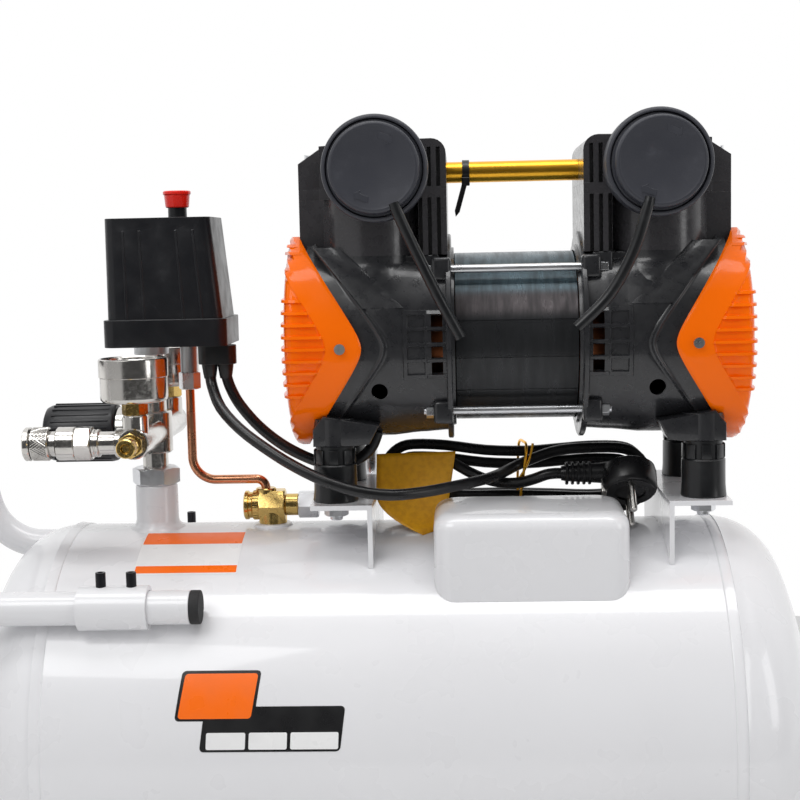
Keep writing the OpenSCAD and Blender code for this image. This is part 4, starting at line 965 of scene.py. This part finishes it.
class COMPRESSOR_OT_castings(CompressorOperator, bpy.types.Operator):
    """Add the two end castings of the pump"""
    bl_idname = "compressor.castings"
    bl_label = "End castings"

    vents = (13.0, 3.6, -6.0, -15.6)
    vent_half = 3.7
    slot_half = 3.6
    pad_low, pad_high = -22.0, 19.5
    bead_limit = 123.0

    def execute(self, context):
        for side in (-1, 1):
            settle(self.casting(side), "end_castings")
        return {"FINISHED"}

    def heights(self):
        """Heights of the casting's grid lines, with close pairs at the vents' edges."""
        edges = [z + d for z in self.vents for d in (-self.vent_half, self.vent_half)]
        edges += [self.pad_low, self.pad_high]
        lines = {round(e + d, 3) for e in edges for d in (-0.3, 0.3)}
        for k in range(-29, 30):
            z = SHELL_R * math.sin(math.radians(3 * k))
            if all(abs(z - e) > 0.9 for e in edges):
                lines.add(round(z, 3))
        return sorted(lines)

    def radius(self, d, z):
        """The casting's outer radius at distance d and height z."""
        base = 59.3 + 0.9 * step_between(d, 44, 58) + 2.0 * step_between(d, 58, 80)
        t = d - min(vee(z, BEAD_TIP), self.bead_limit)
        band = (63.4 - base) * step_between(t, -2.2, -0.4) + 1.1 * math.exp(-(t / 1.0) ** 2)
        groove = -0.35 * math.exp(-((t + 3.2) / 0.8) ** 2)
        pad = 1.0 * step_between(68.6 - d, 0, 0.6) * step_between(z - self.pad_low, -0.3, 0.3)
        pad *= step_between(self.pad_high - z, -0.3, 0.3)
        pocket = 0.0
        for v in self.vents:
            inside = step_between(self.vent_half - abs(z - v), -0.3, 0.3)
            pocket -= 1.5 * inside * step_between(d, 55.2, 55.8) * step_between(66.0 - d, 0, 0.6)
            pocket += 0.9 * step_between(1.2 - abs(abs(z - v) - 4.6), 0, 0.5) * step_between(54.4 - d, 0, 0.5)
        return base + band + groove + pad + pocket

    def columns(self, z):
        start = [42.3, 43, 44, 44.6, 51.4, 52, 53.9, 54.4, 55.2, 55.8, 60, 65.4, 66, 68, 68.6]
        line = min(vee(z, BEAD_TIP), self.bead_limit)
        inner = [68.6 + (line - 4.4 - 68.6) * k / 6 for k in range(1, 7)]
        bead = [line + t for t in (-3.8, -3.2, -2.6, -2.2, -1.6, -1.0, -0.5, 0, 0.5, 1.0, 1.7, 2.6)]
        outer = [bead[-1] + (127.5 - bead[-1]) * k / 5 for k in range(1, 6)]
        return start + inner + bead + outer

    def casting(self, side):
        angles = [math.asin(max(-1, min(1, z / SHELL_R))) for z in self.heights()]
        angles = [a for a in angles if abs(a) < math.radians(89)]
        ring = angles + [math.radians(90)] + [math.pi - a for a in angles[::-1]] + [math.radians(270)]
        rows = []
        for a in ring:
            z0 = SHELL_R * math.sin(a)
            rows.append([at_pump(side * d, -r * math.cos(a), r * math.sin(a))
                         for d, r in ((d, self.radius(d, z0)) for d in self.columns(z0))])
        shell = sheet_grid(rows, closed_rows=True)
        slots = []
        for f in shell.faces:
            c = f.calc_center_median() - at_pump(0, 0, 0)
            d, z = abs(c.x) * 1000, c.z * 1000
            if 44.4 < d < 51.6 and abs(c.y) > 0.045 and any(abs(z - v) < self.slot_half for v in self.vents):
                slots.append(f)
        bmesh.ops.delete(shell, geom=slots, context="FACES")
        bmesh.ops.recalc_face_normals(shell, faces=shell.faces)
        body = from_bmesh("casting", shell, None, 40)
        wall = body.modifiers.new("wall", "SOLIDIFY")
        wall.thickness = 0.0035
        wall.offset = -1
        drill = lathe([(-90, 0), (-90, 5), (90, 5), (90, 0)], 32, at_pump(side * 83.2, 0, -29.4), "Y")
        tool = from_bmesh("drill", drill, None, 0)
        hole = body.modifiers.new("hole", "BOOLEAN")
        hole.object = tool
        hole.solver = "EXACT"
        baked(body)
        bpy.data.objects.remove(tool)
        meshes = [self.flange(side), self.saddle(side), self.saddle(side, -1), self.bearing_wall(side)]
        for near, far, half, low, high, edge in ((46, 117, 37, 38, 51.8, 0.0015),
                                                 (100, 129, 24, 38, 51.9, 0.0015),
                                                 (46, 58, 44.6, 40, 52, 0.0012)):
            meshes.append(solid_box(at_pump(side * near, -half, low), at_pump(side * far, half, high), edge))
        for y in (-1, 1):
            meshes.append(self.wedge(side, y))
            web = [(84, -50), (90, -61.5), (99, -62.6), (124.4, -62.6), (124.4, -52), (118, -44)]
            near, far = sorted((y * 30, y * 53.5))
            web = prism([(side * d, z) for d, z in web], "Y", near, far, 1.2)
            meshes.append(moved(web, MILLIMETRES, Matrix.Translation(at_pump(0, 0, 0))))
            meshes.append(lathe([(-62.7, 4.1), (-62.7, 11.8), (-61.9, 12.5), (-46, 12.5)], 40,
                                at_pump(side * FOOT_X, y * FOOT_Y, 0), "Z"))
            for z in (-1, 1):
                meshes.append(solid_box(at_pump(side * 39.2, y * 35, z * 36.2),
                                        at_pump(side * 51, y * 49.5, z * 50.5), 0.0024))
        whole = bmesh.new()
        whole.from_mesh(body.data)
        bpy.data.objects.remove(body)
        return joined("end_casting_" + ("left" if side < 0 else "right"), [whole] + meshes,
                      finish("casting"), 32)

    def flange(self, side):
        return lathe([(side * d, r) for d, r in (
            (37.4, 53), (37.4, 56), (39, 56.4), (39, 63.6), (39.6, 64.5), (41.9, 64.5), (42.5, 63.8),
            (42.6, 60.5), (42.4, 54), (37.4, 53))],
            120, at_pump(0, 0, 0))

    def bearing_wall(self, side):
        return lathe([(side * 66, 57), (side * 66, 17.6), (side * 69, 17.6), (side * 69, 57)], 64,
                     at_pump(0, 0, 0))

    def saddle(self, side, front=1):
        """The flared foot of the cylinder's rounded front."""
        flare = [(52, 31.0), (48.5, 31.2), (46, 31.9), (44, 33.0), (42, 34.5), (39, 36.6), (35, 38.6),
                 (30, 40)]
        return lathe(flare, 96, at_pump(side * CYLINDER_X, -14 * front, 0), "Z")

    def wedge(self, side, front):
        """The raised facet between the bead and the cylinder's foot."""
        rows = []
        for k in range(13):
            z = 21 + (57.5 - 21) * k / 12
            face = 59.6 - 0.37 * (z - 20)
            line = vee(z, BEAD_TIP)
            inner = 67.5 + (z - 21) * 1.06
            flare = 31 + 9 * step_between(52 - z, 0, 24)
            under = 14 + math.sqrt(max(0, flare ** 2 - (inner - CYLINDER_X) ** 2))
            seam = min(face, max(under, math.sqrt(max(0, SHELL_R ** 2 - z * z))) + 0.4)
            ys = [seam - 16, seam - 0.9, seam - 0.1, seam + (face - seam) * 0.1, face, face - 0.1, face - 0.9,
                  face - 16]
            ds = [inner, inner, inner + 0.4, inner + 1.3, line - 3.2, line - 1.4, line - 0.4, line]
            rows.append([at_pump(side * d, -front * y, z) for d, y in zip(ds, ys)])
        bm = sheet_grid(rows)
        bm.verts.ensure_lookup_table()
        for row in (0, 12):
            bm.faces.new([bm.verts[row * 8 + k] for k in range(8)])
        return tidy_faces(bm)


# Covers
def along(x, table):
    """The value at x of a line through (place, value) pairs, level before the first."""
    for (x0, y0), (x1, y1) in zip(table, table[1:]):
        if x <= x1:
            return y0 + (y1 - y0) * (max(x, x0) - x0) / (x1 - x0)
    return table[-1][1]


class COMPRESSOR_OT_covers(CompressorOperator, bpy.types.Operator):
    """Add the two orange end covers with their cooling fins"""
    bl_idname = "compressor.covers"
    bl_label = "End covers"

    fins = [VEE_Z + 7.2 * i for i in range(-4, 5)] + [54.5, 59.0, 63.5]

    def execute(self, context):
        for side in (-1, 1):
            settle(self.cover(side), "end_covers")
        return {"FINISHED"}

    profile = ((127.0, 66.8), (131.0, 67.6), (135.0, 67.6), (137.6, 66.6), (139.2, 64.2), (140.3, 60.4),
               (141.1, 55.0), (141.8, 47.0), (142.3, 37.0), (142.7, 24.0), (142.9, 10.0), (143.0, 0.0))

    def reach(self, z):
        """How far out the dome goes at height z."""
        return along(-abs(z), [(-r, d) for d, r in self.profile])

    def dome_radius(self, d):
        return along(d, self.profile) if d <= self.profile[-1][0] else 0.0

    def heights(self):
        lines = set()
        for z in self.fins:
            lines |= {z + d for d in (-1.15, -0.85, -0.4, 0.4, 0.85, 1.15)}
        k = -65.5
        while k < 66.6:
            if all(abs(k - z) > 1.0 for z in lines):
                lines.add(k)
            k += 2.0
        return sorted(z for z in lines if abs(z) < 66.3)

    def cover(self, side):
        rows = []
        for z in self.heights():
            reach = self.reach(z)
            start = min(vee(z, 93.0, 0.67), reach - 0.8)
            offsets = [0, 0.25, 0.7, 1.4, 4, 10, 16, 20.4, 21.2, 21.9, 22.6, 24]
            width = reach - start
            ds = [start + min(t, width * (0.9 + 0.008 * k)) for k, t in enumerate(offsets)]
            for k in range(1, 25):
                ds.append(ds[11] + (reach - ds[11]) * (1 - (1 - k / 24) ** 2))
            row = []
            for d in ds:
                field = step_between(d - start, 21.0, 22.4) if z < 46 else step_between(d - start, 8, 9.5)
                fin = max([step_between(1.15 - abs(z - height), 0.0, 0.3) for height in self.fins])
                rim = -0.9 * (1 - step_between(d - start, 0.0, 1.2))
                lift = rim + field * (-1.1 + 2.4 * fin)
                r = self.dome_radius(d)
                y = math.sqrt(max(0.0, r * r - z * z))
                lean = step_between(d, 127, 139)
                row.append((d + 0.7 * lift * lean, y + lift * (1 - 0.75 * lean) if y > 0.05 else 0.0, z))
            front = [at_pump(side * d, -y, z) for d, y, z in row]
            back = [at_pump(side * d, y, z) for d, y, z in row[::-1]]
            rows.append(front + back)
        shell = tidy_faces(sheet_grid(rows), 2e-5)
        outer = sum((f.normal.x * side * f.calc_area() for f in shell.faces))
        if outer < 0:
            bmesh.ops.reverse_faces(shell, faces=shell.faces)
        obj = from_bmesh("end_cover_" + ("left" if side < 0 else "right"), shell, None, 28)
        wall = obj.modifiers.new("wall", "SOLIDIFY")
        wall.thickness = 0.0026
        wall.offset = -1
        baked(obj)
        dressed(obj, finish("orange"))
        obj.data.shade_smooth()
        obj.data.set_sharp_from_angle(angle=math.radians(32))
        return obj


# Intakes
class COMPRESSOR_OT_intakes(CompressorOperator, bpy.types.Operator):
    """Add the intake filters with their caps and rubber tubes"""
    bl_idname = "compressor.intakes"
    bl_label = "Intake filters"

    def execute(self, context):
        housings, tubes = [], []
        for side in (-1, 1):
            port = at_pump(side * INTAKE_X, 0, INTAKE_Z)
            housings.append(lathe([
                (-38, 6.5), (-38, 9), (-58.6, 9), (-59.4, 10), (-60, 12), (-60, 29.2), (-60.5, 30.6),
                                   (-61.6, 31.2),
                (-75.6, 31.2), (-77.0, 30.8), (-77.8, 29.9), (-78, 29.2), (-77.9, 28.7), (-76.5, 28.4),
                (-63, 28.4), (-63, 6.5), (-38, 6.5)], 128, port, "Y"))
            cap = lathe([
                (-71.4, 0), (-71.4, 28.1), (-76.0, 28.15), (-76.6, 27.8), (-76.8, 27.1), (-77.2, 26.7),
                         (-84.0, 26.4),
                (-85.2, 26.0), (-85.9, 25.1), (-86.0, 24.4), (-85.85, 23.8), (-85.55, 23.2), (-85.5, 0)],
                128, port, "Y")
            marks = [self.arrow(port, a) for a in (25, 205)]
            node = "filter_cap_left" if side < 0 else "filter_cap_right"
            stand_in(node, "charcoal", [cap] + marks, 30)
            if side < 0:
                line = [(10.0, -84.2, 326.8), (13.5, -85, 318), (23, -85, 297), (34.5, -84.6, 273),
                (47.2, -84, 248.6)]
            else:
                line = [(156.4, -84.2, 326.8), (154.2, -85, 319), (146.5, -85, 296), (133, -85, 272),
                        (114.4, -85, 253.4)]
            tubes.append(sweep(through([at(*(x, y, z)) for x, y, z in line], 8), 0.0033, 24, 0.0021))
        stand_in("filter_housings", "charcoal", housings, 32)
        stand_in("intake_tubes", "rubber", tubes, 40)
        rounded_copy("filter_elements", "felt", 0)
        return {"FINISHED"}

    def arrow(self, port, degrees):
        """A raised arrow that follows the rim of a cap."""
        inner, outer, middle = 16.6, 20.2, 18.4
        pts = [(outer, a) for a in range(-15, 7, 3)] + [(22.0, 6), (middle, 14), (14.8, 6)]
        pts += [(inner, a) for a in range(6, -16, -3)]
        outline = [(r * math.sin(math.radians(a + degrees)), r * math.cos(math.radians(a + degrees)))
                   for r, a in pts]
        bm = prism(outline, "Y", -85.75, -85.3, 0.12, 1)
        return moved(bm, MILLIMETRES, Matrix.Translation(port))


# Turned fittings
def nut_points(low, high, corner, hole=0.0):
    """A chamfered six-sided nut between two distances, as points for a lathe."""
    flat = corner * math.cos(math.pi / 6)
    chamfer = (corner - flat) * 0.6
    out = [(low, hole)]
    for end, way in ((low, 1), (high, -1)):
        steps = range(5) if way > 0 else range(4, -1, -1)
        out += [(end + way * chamfer * k / 4, flat * 0.97 + (corner - flat * 0.97) * k / 4, flat)
                for k in steps]
    return out + [(high, hole)]


def outwards(points):
    """Points for a lathe whose distances run towards the left."""
    return [(-d, *rest) for d, *rest in points]


class COMPRESSOR_OT_outlet(CompressorOperator, bpy.types.Operator):
    """Add the outlet: manifold, nuts, safety valve, quick coupler and regulator knob"""
    bl_idname = "compressor.outlet"
    bl_label = "Outlet"

    def execute(self, context):
        self.manifold()
        self.nuts()
        self.coupler()
        self.knob(context.scene.compressor_look.ridges)
        valve = nut_points(0, 8, 8.0)[:-1] + [(8, 5.8), (12, 5.8), (12.4, 5.3), (13.4, 5.3), (13.8, 5.8),
                                              (20.3, 5.8), (21, 5.1), (21, 3.0), (20.4, 2.7), (8, 2.7)]
        stand_in("safety_valve_body", "brass", [lathe(outwards(valve), 60, at_riser(0, -64.2, ARM_Z), "Y")],
                 name="safety_valve")
        rounded_copy("safety_valve_stem", "brass", 0.0004)
        rounded_copy("drain_screw", "brass", 0.0005)
        return {"FINISHED"}

    def manifold(self):
        start = at_riser(0, 0, 0)
        pieces = [
            lathe([(130, 5), (130, 8.2), (248, 8.2), (248, 5), (130, 5)], 64, start, "Z"),
            lathe([(173.5, 8), (173.5, 10.4), (174.6, 11.5), (199.4, 11.5), (200.5, 10.4), (200.5, 8)], 64,
                  start, "Z"),
            lathe([(-64.2, 5), (-64.2, 8.8), (-63.5, 9.5), (64.2, 9.5), (67.4, 8.9), (70.2, 7.3),
                      (72.3, 4.8), (73.5, 2.2), (73.7, 0)], 64, at_riser(0, 0, ARM_Z), "Y"),
            lathe([(-12, 3.6), (-12, 8.4), (-11.4, 9), (0, 9)], 64, at_riser(0, -55, ARM_Z)),
            lathe([(-54, 0), (-54, 12), (-53, 13), (-23, 13), (-23, 15.2), (-22.2, 16), (-12, 16),
                      (-11, 15), (-10.5, 9)], 64, at_riser(0, 0, ARM_Z)),
        ]
        for y in (-55, 55):
            pieces.append(lathe([(187, 8), (202.8, 8), (204, 7.2), (204, 5)], 64, at_riser(0, y, 0), "Z"))
        stand_in("manifold", "nickel", pieces, 40)

    def nuts(self):
        pieces = [lathe(nut_points(153, 164, 15.4, 8.25), 96, at_riser(0, 0, 0), "Z"),
                  lathe(nut_points(214, 225, 7.0, 2.95), 60, at_riser(24, 0, 0), "Z"),
                  lathe(nut_points(17, 30, 9.2, 4.6), 60, at(VALVE_X, 0, VALVE_Z))]
        stand_in("pipe_nuts", "zinc", pieces)

    def coupler(self):
        start = at_riser(-12, -55, ARM_Z)
        body = [(0, 3.6), (0, 7), (9.6, 7), (10, 8.1), (10.4, 8.5), (11.5, 8.5), (11.9, 8.0), (12.5, 8.0),
                (12.9, 8.5), (14.1, 8.5), (14.5, 8.0)]
        body += nut_points(14.5, 24.5, 11.2)[1:-1]
        body += [(24.5, 9.4), (25.2, 10.2), (35.3, 10.2), (36, 9.5), (36, 7.6), (52, 7.6), (52, 9.6),
                 (52.7, 10.3), (55.3, 10.3), (56, 9.6), (56, 6.8), (54.8, 5.5), (20, 5.5), (20, 3.6),
                 (0, 3.6)]
        stand_in("coupler_body", "nickel", [lathe(outwards(body), 96, start)], 32)
        sleeve = [(40.3, 7.66), (40.3, 9.3), (40.9, 10.0), (51.1, 10.0), (51.7, 9.3), (51.7, 7.66),
                  (40.3, 7.66)]
        stand_in("coupler_sleeve", "nickel", [lathe(outwards(sleeve), 96, start)], 32)
        for way in (-1, 1):
            path = [Vector((-(41.4 + 9.2 * k / 10) / 1000, 0.01002 * math.sin(way * k * 0.062),
                            0.01002 * math.cos(way * k * 0.062))) for k in range(11)]
            knurl = repeated("coupler_knurl_" + ("left" if way < 0 else "right"), sweep(path, 0.00026, 4), 40,
                             finish("nickel"), turn=(math.tau / 40, 0, 0), place=start, smooth=0)
            beside(knurl, "coupler_sleeve")

    def knob(self, count):
        start = at_riser(0, 0, ARM_Z)
        grip = [(23.3, 13.4), (23.3, 17.4), (24.1, 18.3), (25.4, 18.6), (60, 18.3), (65.6, 17.7),
                (68.2, 16.4), (69.3, 14.0), (69.3, 0)]
        inside = [(57, 0), (57, 13.4), (23.3, 13.4)]
        shell = lathe(outwards(grip), 96, start)
        bore = lathe(outwards(inside), 96, start)
        bmesh.ops.reverse_faces(bore, faces=bore.faces)
        stand_in("regulator_knob", "switch", [shell, bore])
        ridge = solid_box((-0.0635, -0.0009, 0.0178), (-0.0265, 0.0009, 0.0190), 0.0004, 2)
        ridges = repeated("regulator_knob_ridges", ridge, count, finish("switch"),
                          turn=(math.tau / count, 0, 0), place=start)
        beside(ridges, "regulator_knob")


# Gauges
class COMPRESSOR_OT_gauges(CompressorOperator, bpy.types.Operator):
    """Add the two gauges with their dials, needles and lenses"""
    bl_idname = "compressor.gauges"
    bl_label = "Gauges"

    def execute(self, context):
        f = Finish("dial face")
        paper = f.noise(200.0, 3.0)
        f.put(base_color=f.blend(paper.ramp(0.4, 0.7), (0.86, 0.86, 0.84), (0.82, 0.82, 0.8)), roughness=0.5)
        cases, stems = [], []
        case = [(212, 7), (212, 17.6), (212.5, 19.2), (213.6, 20.1), (215, 20.4), (227.0, 20.4),
                (227.5, 21.0), (237.4, 21.0), (238.2, 20.7), (238.5, 20.1), (238.5, 19.4), (237.8, 18.8),
                (229.5, 18.8), (229.5, 1.0), (232.0, 1.0), (232.1, 0)]
        for side, name in ((-1, "outlet"), (1, "tank")):
            centre = at_riser(0, side * 55, 0)
            cases.append(lathe(case, 128, centre, "Z"))
            stems.append(lathe(nut_points(204, 212, 8.0, 4), 60, centre, "Z"))
            dial_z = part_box("outlet_gauge_needle")[0][2] - 0.0007
            place = (centre.x, centre.y, dial_z)
            dial = lathe([(0, 0), (0, 18.6), (-0.4, 18.7)], 64, place, "Z")
            beside(from_bmesh(name + "_dial", dial, f.material), "gauge_cases")
            for label, count, inner, half in (("_marks", 11, 0.0136, 0.00022),
                                              ("_fine_marks", 51, 0.0155, 0.0001)):
                mark = solid_box((inner, -half, 0), (0.0172, half, 0.00012))
                moved(mark, Matrix.Rotation(math.radians(-135), 4, "Z"))
                turn = (0, 0, -math.radians(270 / (count - 1)))
                marks = repeated(name + label, mark, count, finish("switch"), (0, 0, 0), turn, place, 0)
                beside(marks, "gauge_cases")
        stand_in("gauge_cases", "nickel", cases)
        beside(joined("gauge_stems", stems, finish("brass"), 35), "check_valve")
        for node, material in (("gauge_lenses", "glass"), ("tank_gauge_needle", "switch"),
                               ("outlet_gauge_needle", "switch")):
            rounded_copy(node, material, 0)
        return {"FINISHED"}


# Switch
class COMPRESSOR_OT_switch(CompressorOperator, bpy.types.Operator):
    """Add the pressure switch with its cover, knob and cable gland"""
    bl_idname = "compressor.switch"
    bl_label = "Pressure switch"

    def execute(self, context):
        rounded_copy("switch_base", "cast", 0.0006)
        cover = rounded_copy("switch_cover", "switch", 0.0012, 3)
        low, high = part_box("switch_cover")
        lip = low[2] + 0.017
        knob = at_riser(20, 0, 323)
        for v in cover.data.vertices:
            if (v.co - knob).length < 0.011:
                continue
            v.co.x = high[0] - (high[0] - v.co.x) * 1.045
            rise = step_between(v.co.z, lip, lip + 0.004) * (v.co.z - lip) / (high[2] - lip)
            if rise > 0:
                v.co.x = low[0] + (v.co.x - low[0]) * (1 - 0.085 * rise)
                v.co.y = v.co.y * (1 - 0.05 * rise)
        cap = [(6.4, 0), (6.4, 6.8), (7.0, 7.4), (11.8, 7.9), (14.2, 8.1), (15.0, 8.8), (16.4, 8.8),
               (17, 8.2), (17, 0)]
        stand_in("switch_knob", "red", [lathe(cap, 64, knob, "Z")])
        stem = [(-25, 0), (-25, 5.9), (6.6, 5.9), (6.6, 0)]
        beside(joined("switch_knob_stem", [lathe(stem, 64, knob, "Z")], finish("switch"), 35), "switch_knob")
        rounded_copy("cable_gland", "rubber", 0.0012, 3)
        return {"FINISHED"}


# Pipes
class COMPRESSOR_OT_pipes(CompressorOperator, bpy.types.Operator):
    """Add the check valve and the tubes between the pump, the switch and the tank"""
    bl_idname = "compressor.pipes"
    bl_label = "Pipes"

    def execute(self, context):
        centre = at(VALVE_X, 0, VALVE_Z)
        cap = [(-18, 0), (-18, 8.3), (-17.3, 9.3), (-15.4, 9.3), (-14.7, 8.4), (-12.9, 8.4), (-12.2, 9.3),
               (-8.5, 9.3), (-8.5, 6)]
        body = nut_points(-8.5, 8.5, 11.2) + [(8.5, 6.2), (9.2, 7), (16.4, 7), (17, 6.4), (17, 4.5)]
        stub = [(-11.4, 4.5), (-11.4, 9), (-4, 9)]
        pieces = [lathe(cap, 64, centre), lathe(body, 60, centre), lathe(stub, 64, centre, "Z")]
        pieces.append(lathe([(7.5, 6.6), (10.6, 6.6), (11.2, 6.0), (11.2, 2.9)], 48,
                            at(VALVE_X - 4, 0, VALVE_Z), "Z"))
        stand_in("check_valve", "brass", pieces)
        rib = solid_box((-0.0121, -0.0004, 0.0088), (-0.0088, 0.0004, 0.0095), 0.00015, 1)
        turn = (math.tau / 28, 0, 0)
        beside(repeated("check_valve_ribs", rib, 28, finish("brass"), turn=turn, place=centre), "check_valve")
        plain(("unloader_tube", "copper"), ("discharge_pipe", "aluminium"), ("crossover_tube", "gold"))
        return {"FINISHED"}


# Mounts
class COMPRESSOR_OT_mounts(CompressorOperator, bpy.types.Operator):
    """Add the pump brackets with their rubber bushes and bolts"""
    bl_idname = "compressor.mounts"
    bl_label = "Pump mounts"

    def execute(self, context):
        body = [(-97.3, 4.1), (-97.3, 13.4), (-96.6, 13.9), (-94, 13.6), (-90, 13.3), (-74.8, 13.2),
                (-74, 12.6), (-73.8, 11.6), (-62.9, 11.6), (-62.7, 11.2), (-62.7, 4.1), (-97.3, 4.1)]
        turned_steel = ((nut_points(-9.3, -3.6, 7.5) + [(-3.6, 0)], 60),
                        ([(-3.7, 0), (-3.7, 7.4), (-3, 7.4), (-3, 4)], 60),
                        ([(-12, 0), (-12, 3.3), (-11.3, 3.9), (-9, 3.9)], 32),
                        ([(30, 4), (49.4, 4), (50, 3.4), (50, 0)], 32))
        bushes, bolts = [], []
        for side in (-1, 1):
            for y in (-FOOT_Y, FOOT_Y):
                place = at_pump(side * FOOT_X, y, 0)
                bushes.append(lathe(body, 64, place, "Z"))
                tooth = solid_box((0.0112, -0.0031, -0.0738), (0.0128, 0.0031, -0.0650), 0.0005, 2)
                turn = (0, 0, math.tau / 8)
                teeth = repeated("bush_teeth", tooth, 8, finish("rubber"), turn=turn, place=place)
                beside(teeth, "mounting_bushes")
                under = at_pump(side * FOOT_X, y, -97.3)
                bolts += [lathe(outline, steps, under, "Z") for outline, steps in turned_steel]
        stand_in("mounting_bushes", "rubber", bushes)
        stand_in("mounting_bolts", "zinc", bolts)
        plain(("pump_brackets", "white"))
        return {"FINISHED"}


# Motor
class COMPRESSOR_OT_motor(CompressorOperator, bpy.types.Operator):
    """Add the motor: stator, windings, tie rods, rotor, bearings and fans"""
    bl_idname = "compressor.motor"
    bl_label = "Motor"

    seams = (12.9, -10.8, -35.1, 40.0, 167.1, 190.8, 215.1, 140.0)

    def execute(self, context):
        angles = {float(a) for a in range(-90, 270, 3)}
        for seam in self.seams:
            angles = {a for a in angles if abs(a - seam) > 1.2}
            angles |= {seam + d for d in (-0.8, -0.45, 0.45, 0.8)}
        rows = []
        for a in sorted(angles):
            near = min(abs(a - seam) for seam in self.seams)
            r = 52.5 - (0.45 if near < 0.5 else 0.0)
            flat = math.radians(a)
            rows.append([at_pump(d, -q * math.cos(flat), q * math.sin(flat)) for d, q in (
                (-37.2, 44), (-37.2, r - 0.5), (-36.7, r), (36.7, r), (37.2, r - 0.5), (37.2, 44))])
        core = sheet_grid(rows, closed_rows=True, closed_columns=True)
        bmesh.ops.recalc_face_normals(core, faces=core.faces)
        settle(from_bmesh("stator_core_visible", core, finish("laminations"), 30), "stator_core")
        plain(("stator_windings", "winding"), ("tie_rods", "zinc"), ("bearings", "steel"), ("rotor", "steel"),
              ("eccentrics", "iron"), ("fans", "nylon"))
        return {"FINISHED"}


# Cylinders
class COMPRESSOR_OT_cylinders(CompressorOperator, bpy.types.Operator):
    """Add the cylinders, heads, valve plates, pistons and screws of the pump"""
    bl_idname = "compressor.cylinders"
    bl_label = "Cylinders"

    def execute(self, context):
        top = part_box("cylinder_heads")[1][2]
        for node in ("cylinder_blocks", "cylinder_heads", "valve_plates"):
            self.shaped(rounded_copy(node, "head", context.scene.compressor_look.edge * 2, 3), top)
        self.shaped(rounded_copy("pump_screws", "zinc", 0), top)
        plain(("piston_left", "aluminium"), ("piston_right", "aluminium"))
        return {"FINISHED"}

    def shaped(self, obj, top):
        """Draws the outer plate of each cylinder out a little and lowers its top corner."""
        middle = at_pump(0, 0, 0).x
        plate, growth, drop = 0.117, 1.2, 0.0037
        for v in obj.data.vertices:
            d = v.co.x - middle
            over = abs(d) - plate
            if over > -0.006 and v.co.z > top - 0.014:
                shoulder = step_between(over, -0.006, 0.0015)
                v.co.z -= drop * shoulder * (1 - 0.6 * step_between(over, 0.006, 0.0125))
            if over > 0:
                v.co.x = middle + math.copysign(plate + growth * over, d)


# Handle
class COMPRESSOR_OT_handle(CompressorOperator, bpy.types.Operator):
    """Add the handle with its grip, sockets and clamp screws"""
    bl_idname = "compressor.handle"
    bl_label = "Handle"

    def execute(self, context):
        plain(("handle", "white"), ("handle_grip", "grip"), ("handle_sockets", "white"),
              ("socket_screws", "screw_black"))
        return {"FINISHED"}


# Stand
class COMPRESSOR_OT_stand(CompressorOperator, bpy.types.Operator):
    """Add the legs, the rubber feet, the axle and the two wheels with their tyres"""
    bl_idname = "compressor.stand"
    bl_label = "Stand and wheels"

    def execute(self, context):
        count = context.scene.compressor_look.treads
        tyre = [(-12, 48.05), (-13, 49.2), (-14.7, 53), (-15, 56), (-14.4, 59), (-12.6, 61.6), (-10.5, 63.0),
                (-3.2, 63.5), (-2.6, 62.6)]
        tyre += [(-d, r) for d, r in tyre[::-1]] + [tyre[0]]
        for side, name in ((-1, "near"), (1, "far")):
            place = at(172, side * 129, -135)
            stand_in(name + "_tyre", "tyre", [lathe(tyre, 120, place, "Y")], 40)
            for row, (low, high, start) in enumerate(((-0.0118, -0.0036, 0.0), (0.0036, 0.0118, 0.5))):
                block = solid_box((-0.0036, low, 0.0615), (0.0036, high, 0.0649), 0.0008, 2)
                moved(block, Matrix.Rotation(start * math.tau / count, 4, "Y"))
                beside(repeated(name + "_tread_" + str(row + 1), block, count, finish("tyre"),
                                turn=(0, math.tau / count, 0), place=place), name + "_tyre")
        plain(("legs", "white"), ("rubber_feet", "rubber"), ("wheel_axle", "zinc"), ("near_wheel", "wheel"),
              ("far_wheel", "wheel"))
        return {"FINISHED"}


# Panel
STEPS = (COMPRESSOR_OT_stage, COMPRESSOR_OT_cables, COMPRESSOR_OT_tank, COMPRESSOR_OT_castings,
         COMPRESSOR_OT_covers, COMPRESSOR_OT_intakes, COMPRESSOR_OT_gauges, COMPRESSOR_OT_outlet,
         COMPRESSOR_OT_switch, COMPRESSOR_OT_pipes, COMPRESSOR_OT_mounts, COMPRESSOR_OT_motor,
         COMPRESSOR_OT_cylinders, COMPRESSOR_OT_handle, COMPRESSOR_OT_stand)


class COMPRESSOR_PT_pieces(bpy.types.Panel):
    """Lists the settings and the pieces"""
    bl_idname = "COMPRESSOR_PT_pieces"
    bl_label = "Air compressor"
    bl_space_type = "VIEW_3D"
    bl_region_type = "UI"
    bl_category = "Compressor"

    def draw(self, context):
        column = self.layout.column()
        for name in CompressorLook.__annotations__:
            column.prop(context.scene.compressor_look, name)
        for step in STEPS:
            column.operator(step.bl_idname)


def register():
    for item in (CompressorLook, *STEPS, COMPRESSOR_PT_pieces):
        bpy.utils.register_class(item)
    bpy.types.Scene.compressor_look = PointerProperty(type=CompressorLook)


def unregister():
    del bpy.types.Scene.compressor_look
    for item in (COMPRESSOR_PT_pieces, *reversed(STEPS), CompressorLook):
        bpy.utils.unregister_class(item)


def main():
    register()
    for step in STEPS:
        group, name = step.bl_idname.split(".")
        getattr(getattr(bpy.ops, group), name)()


if __name__ == "__main__":
    main()
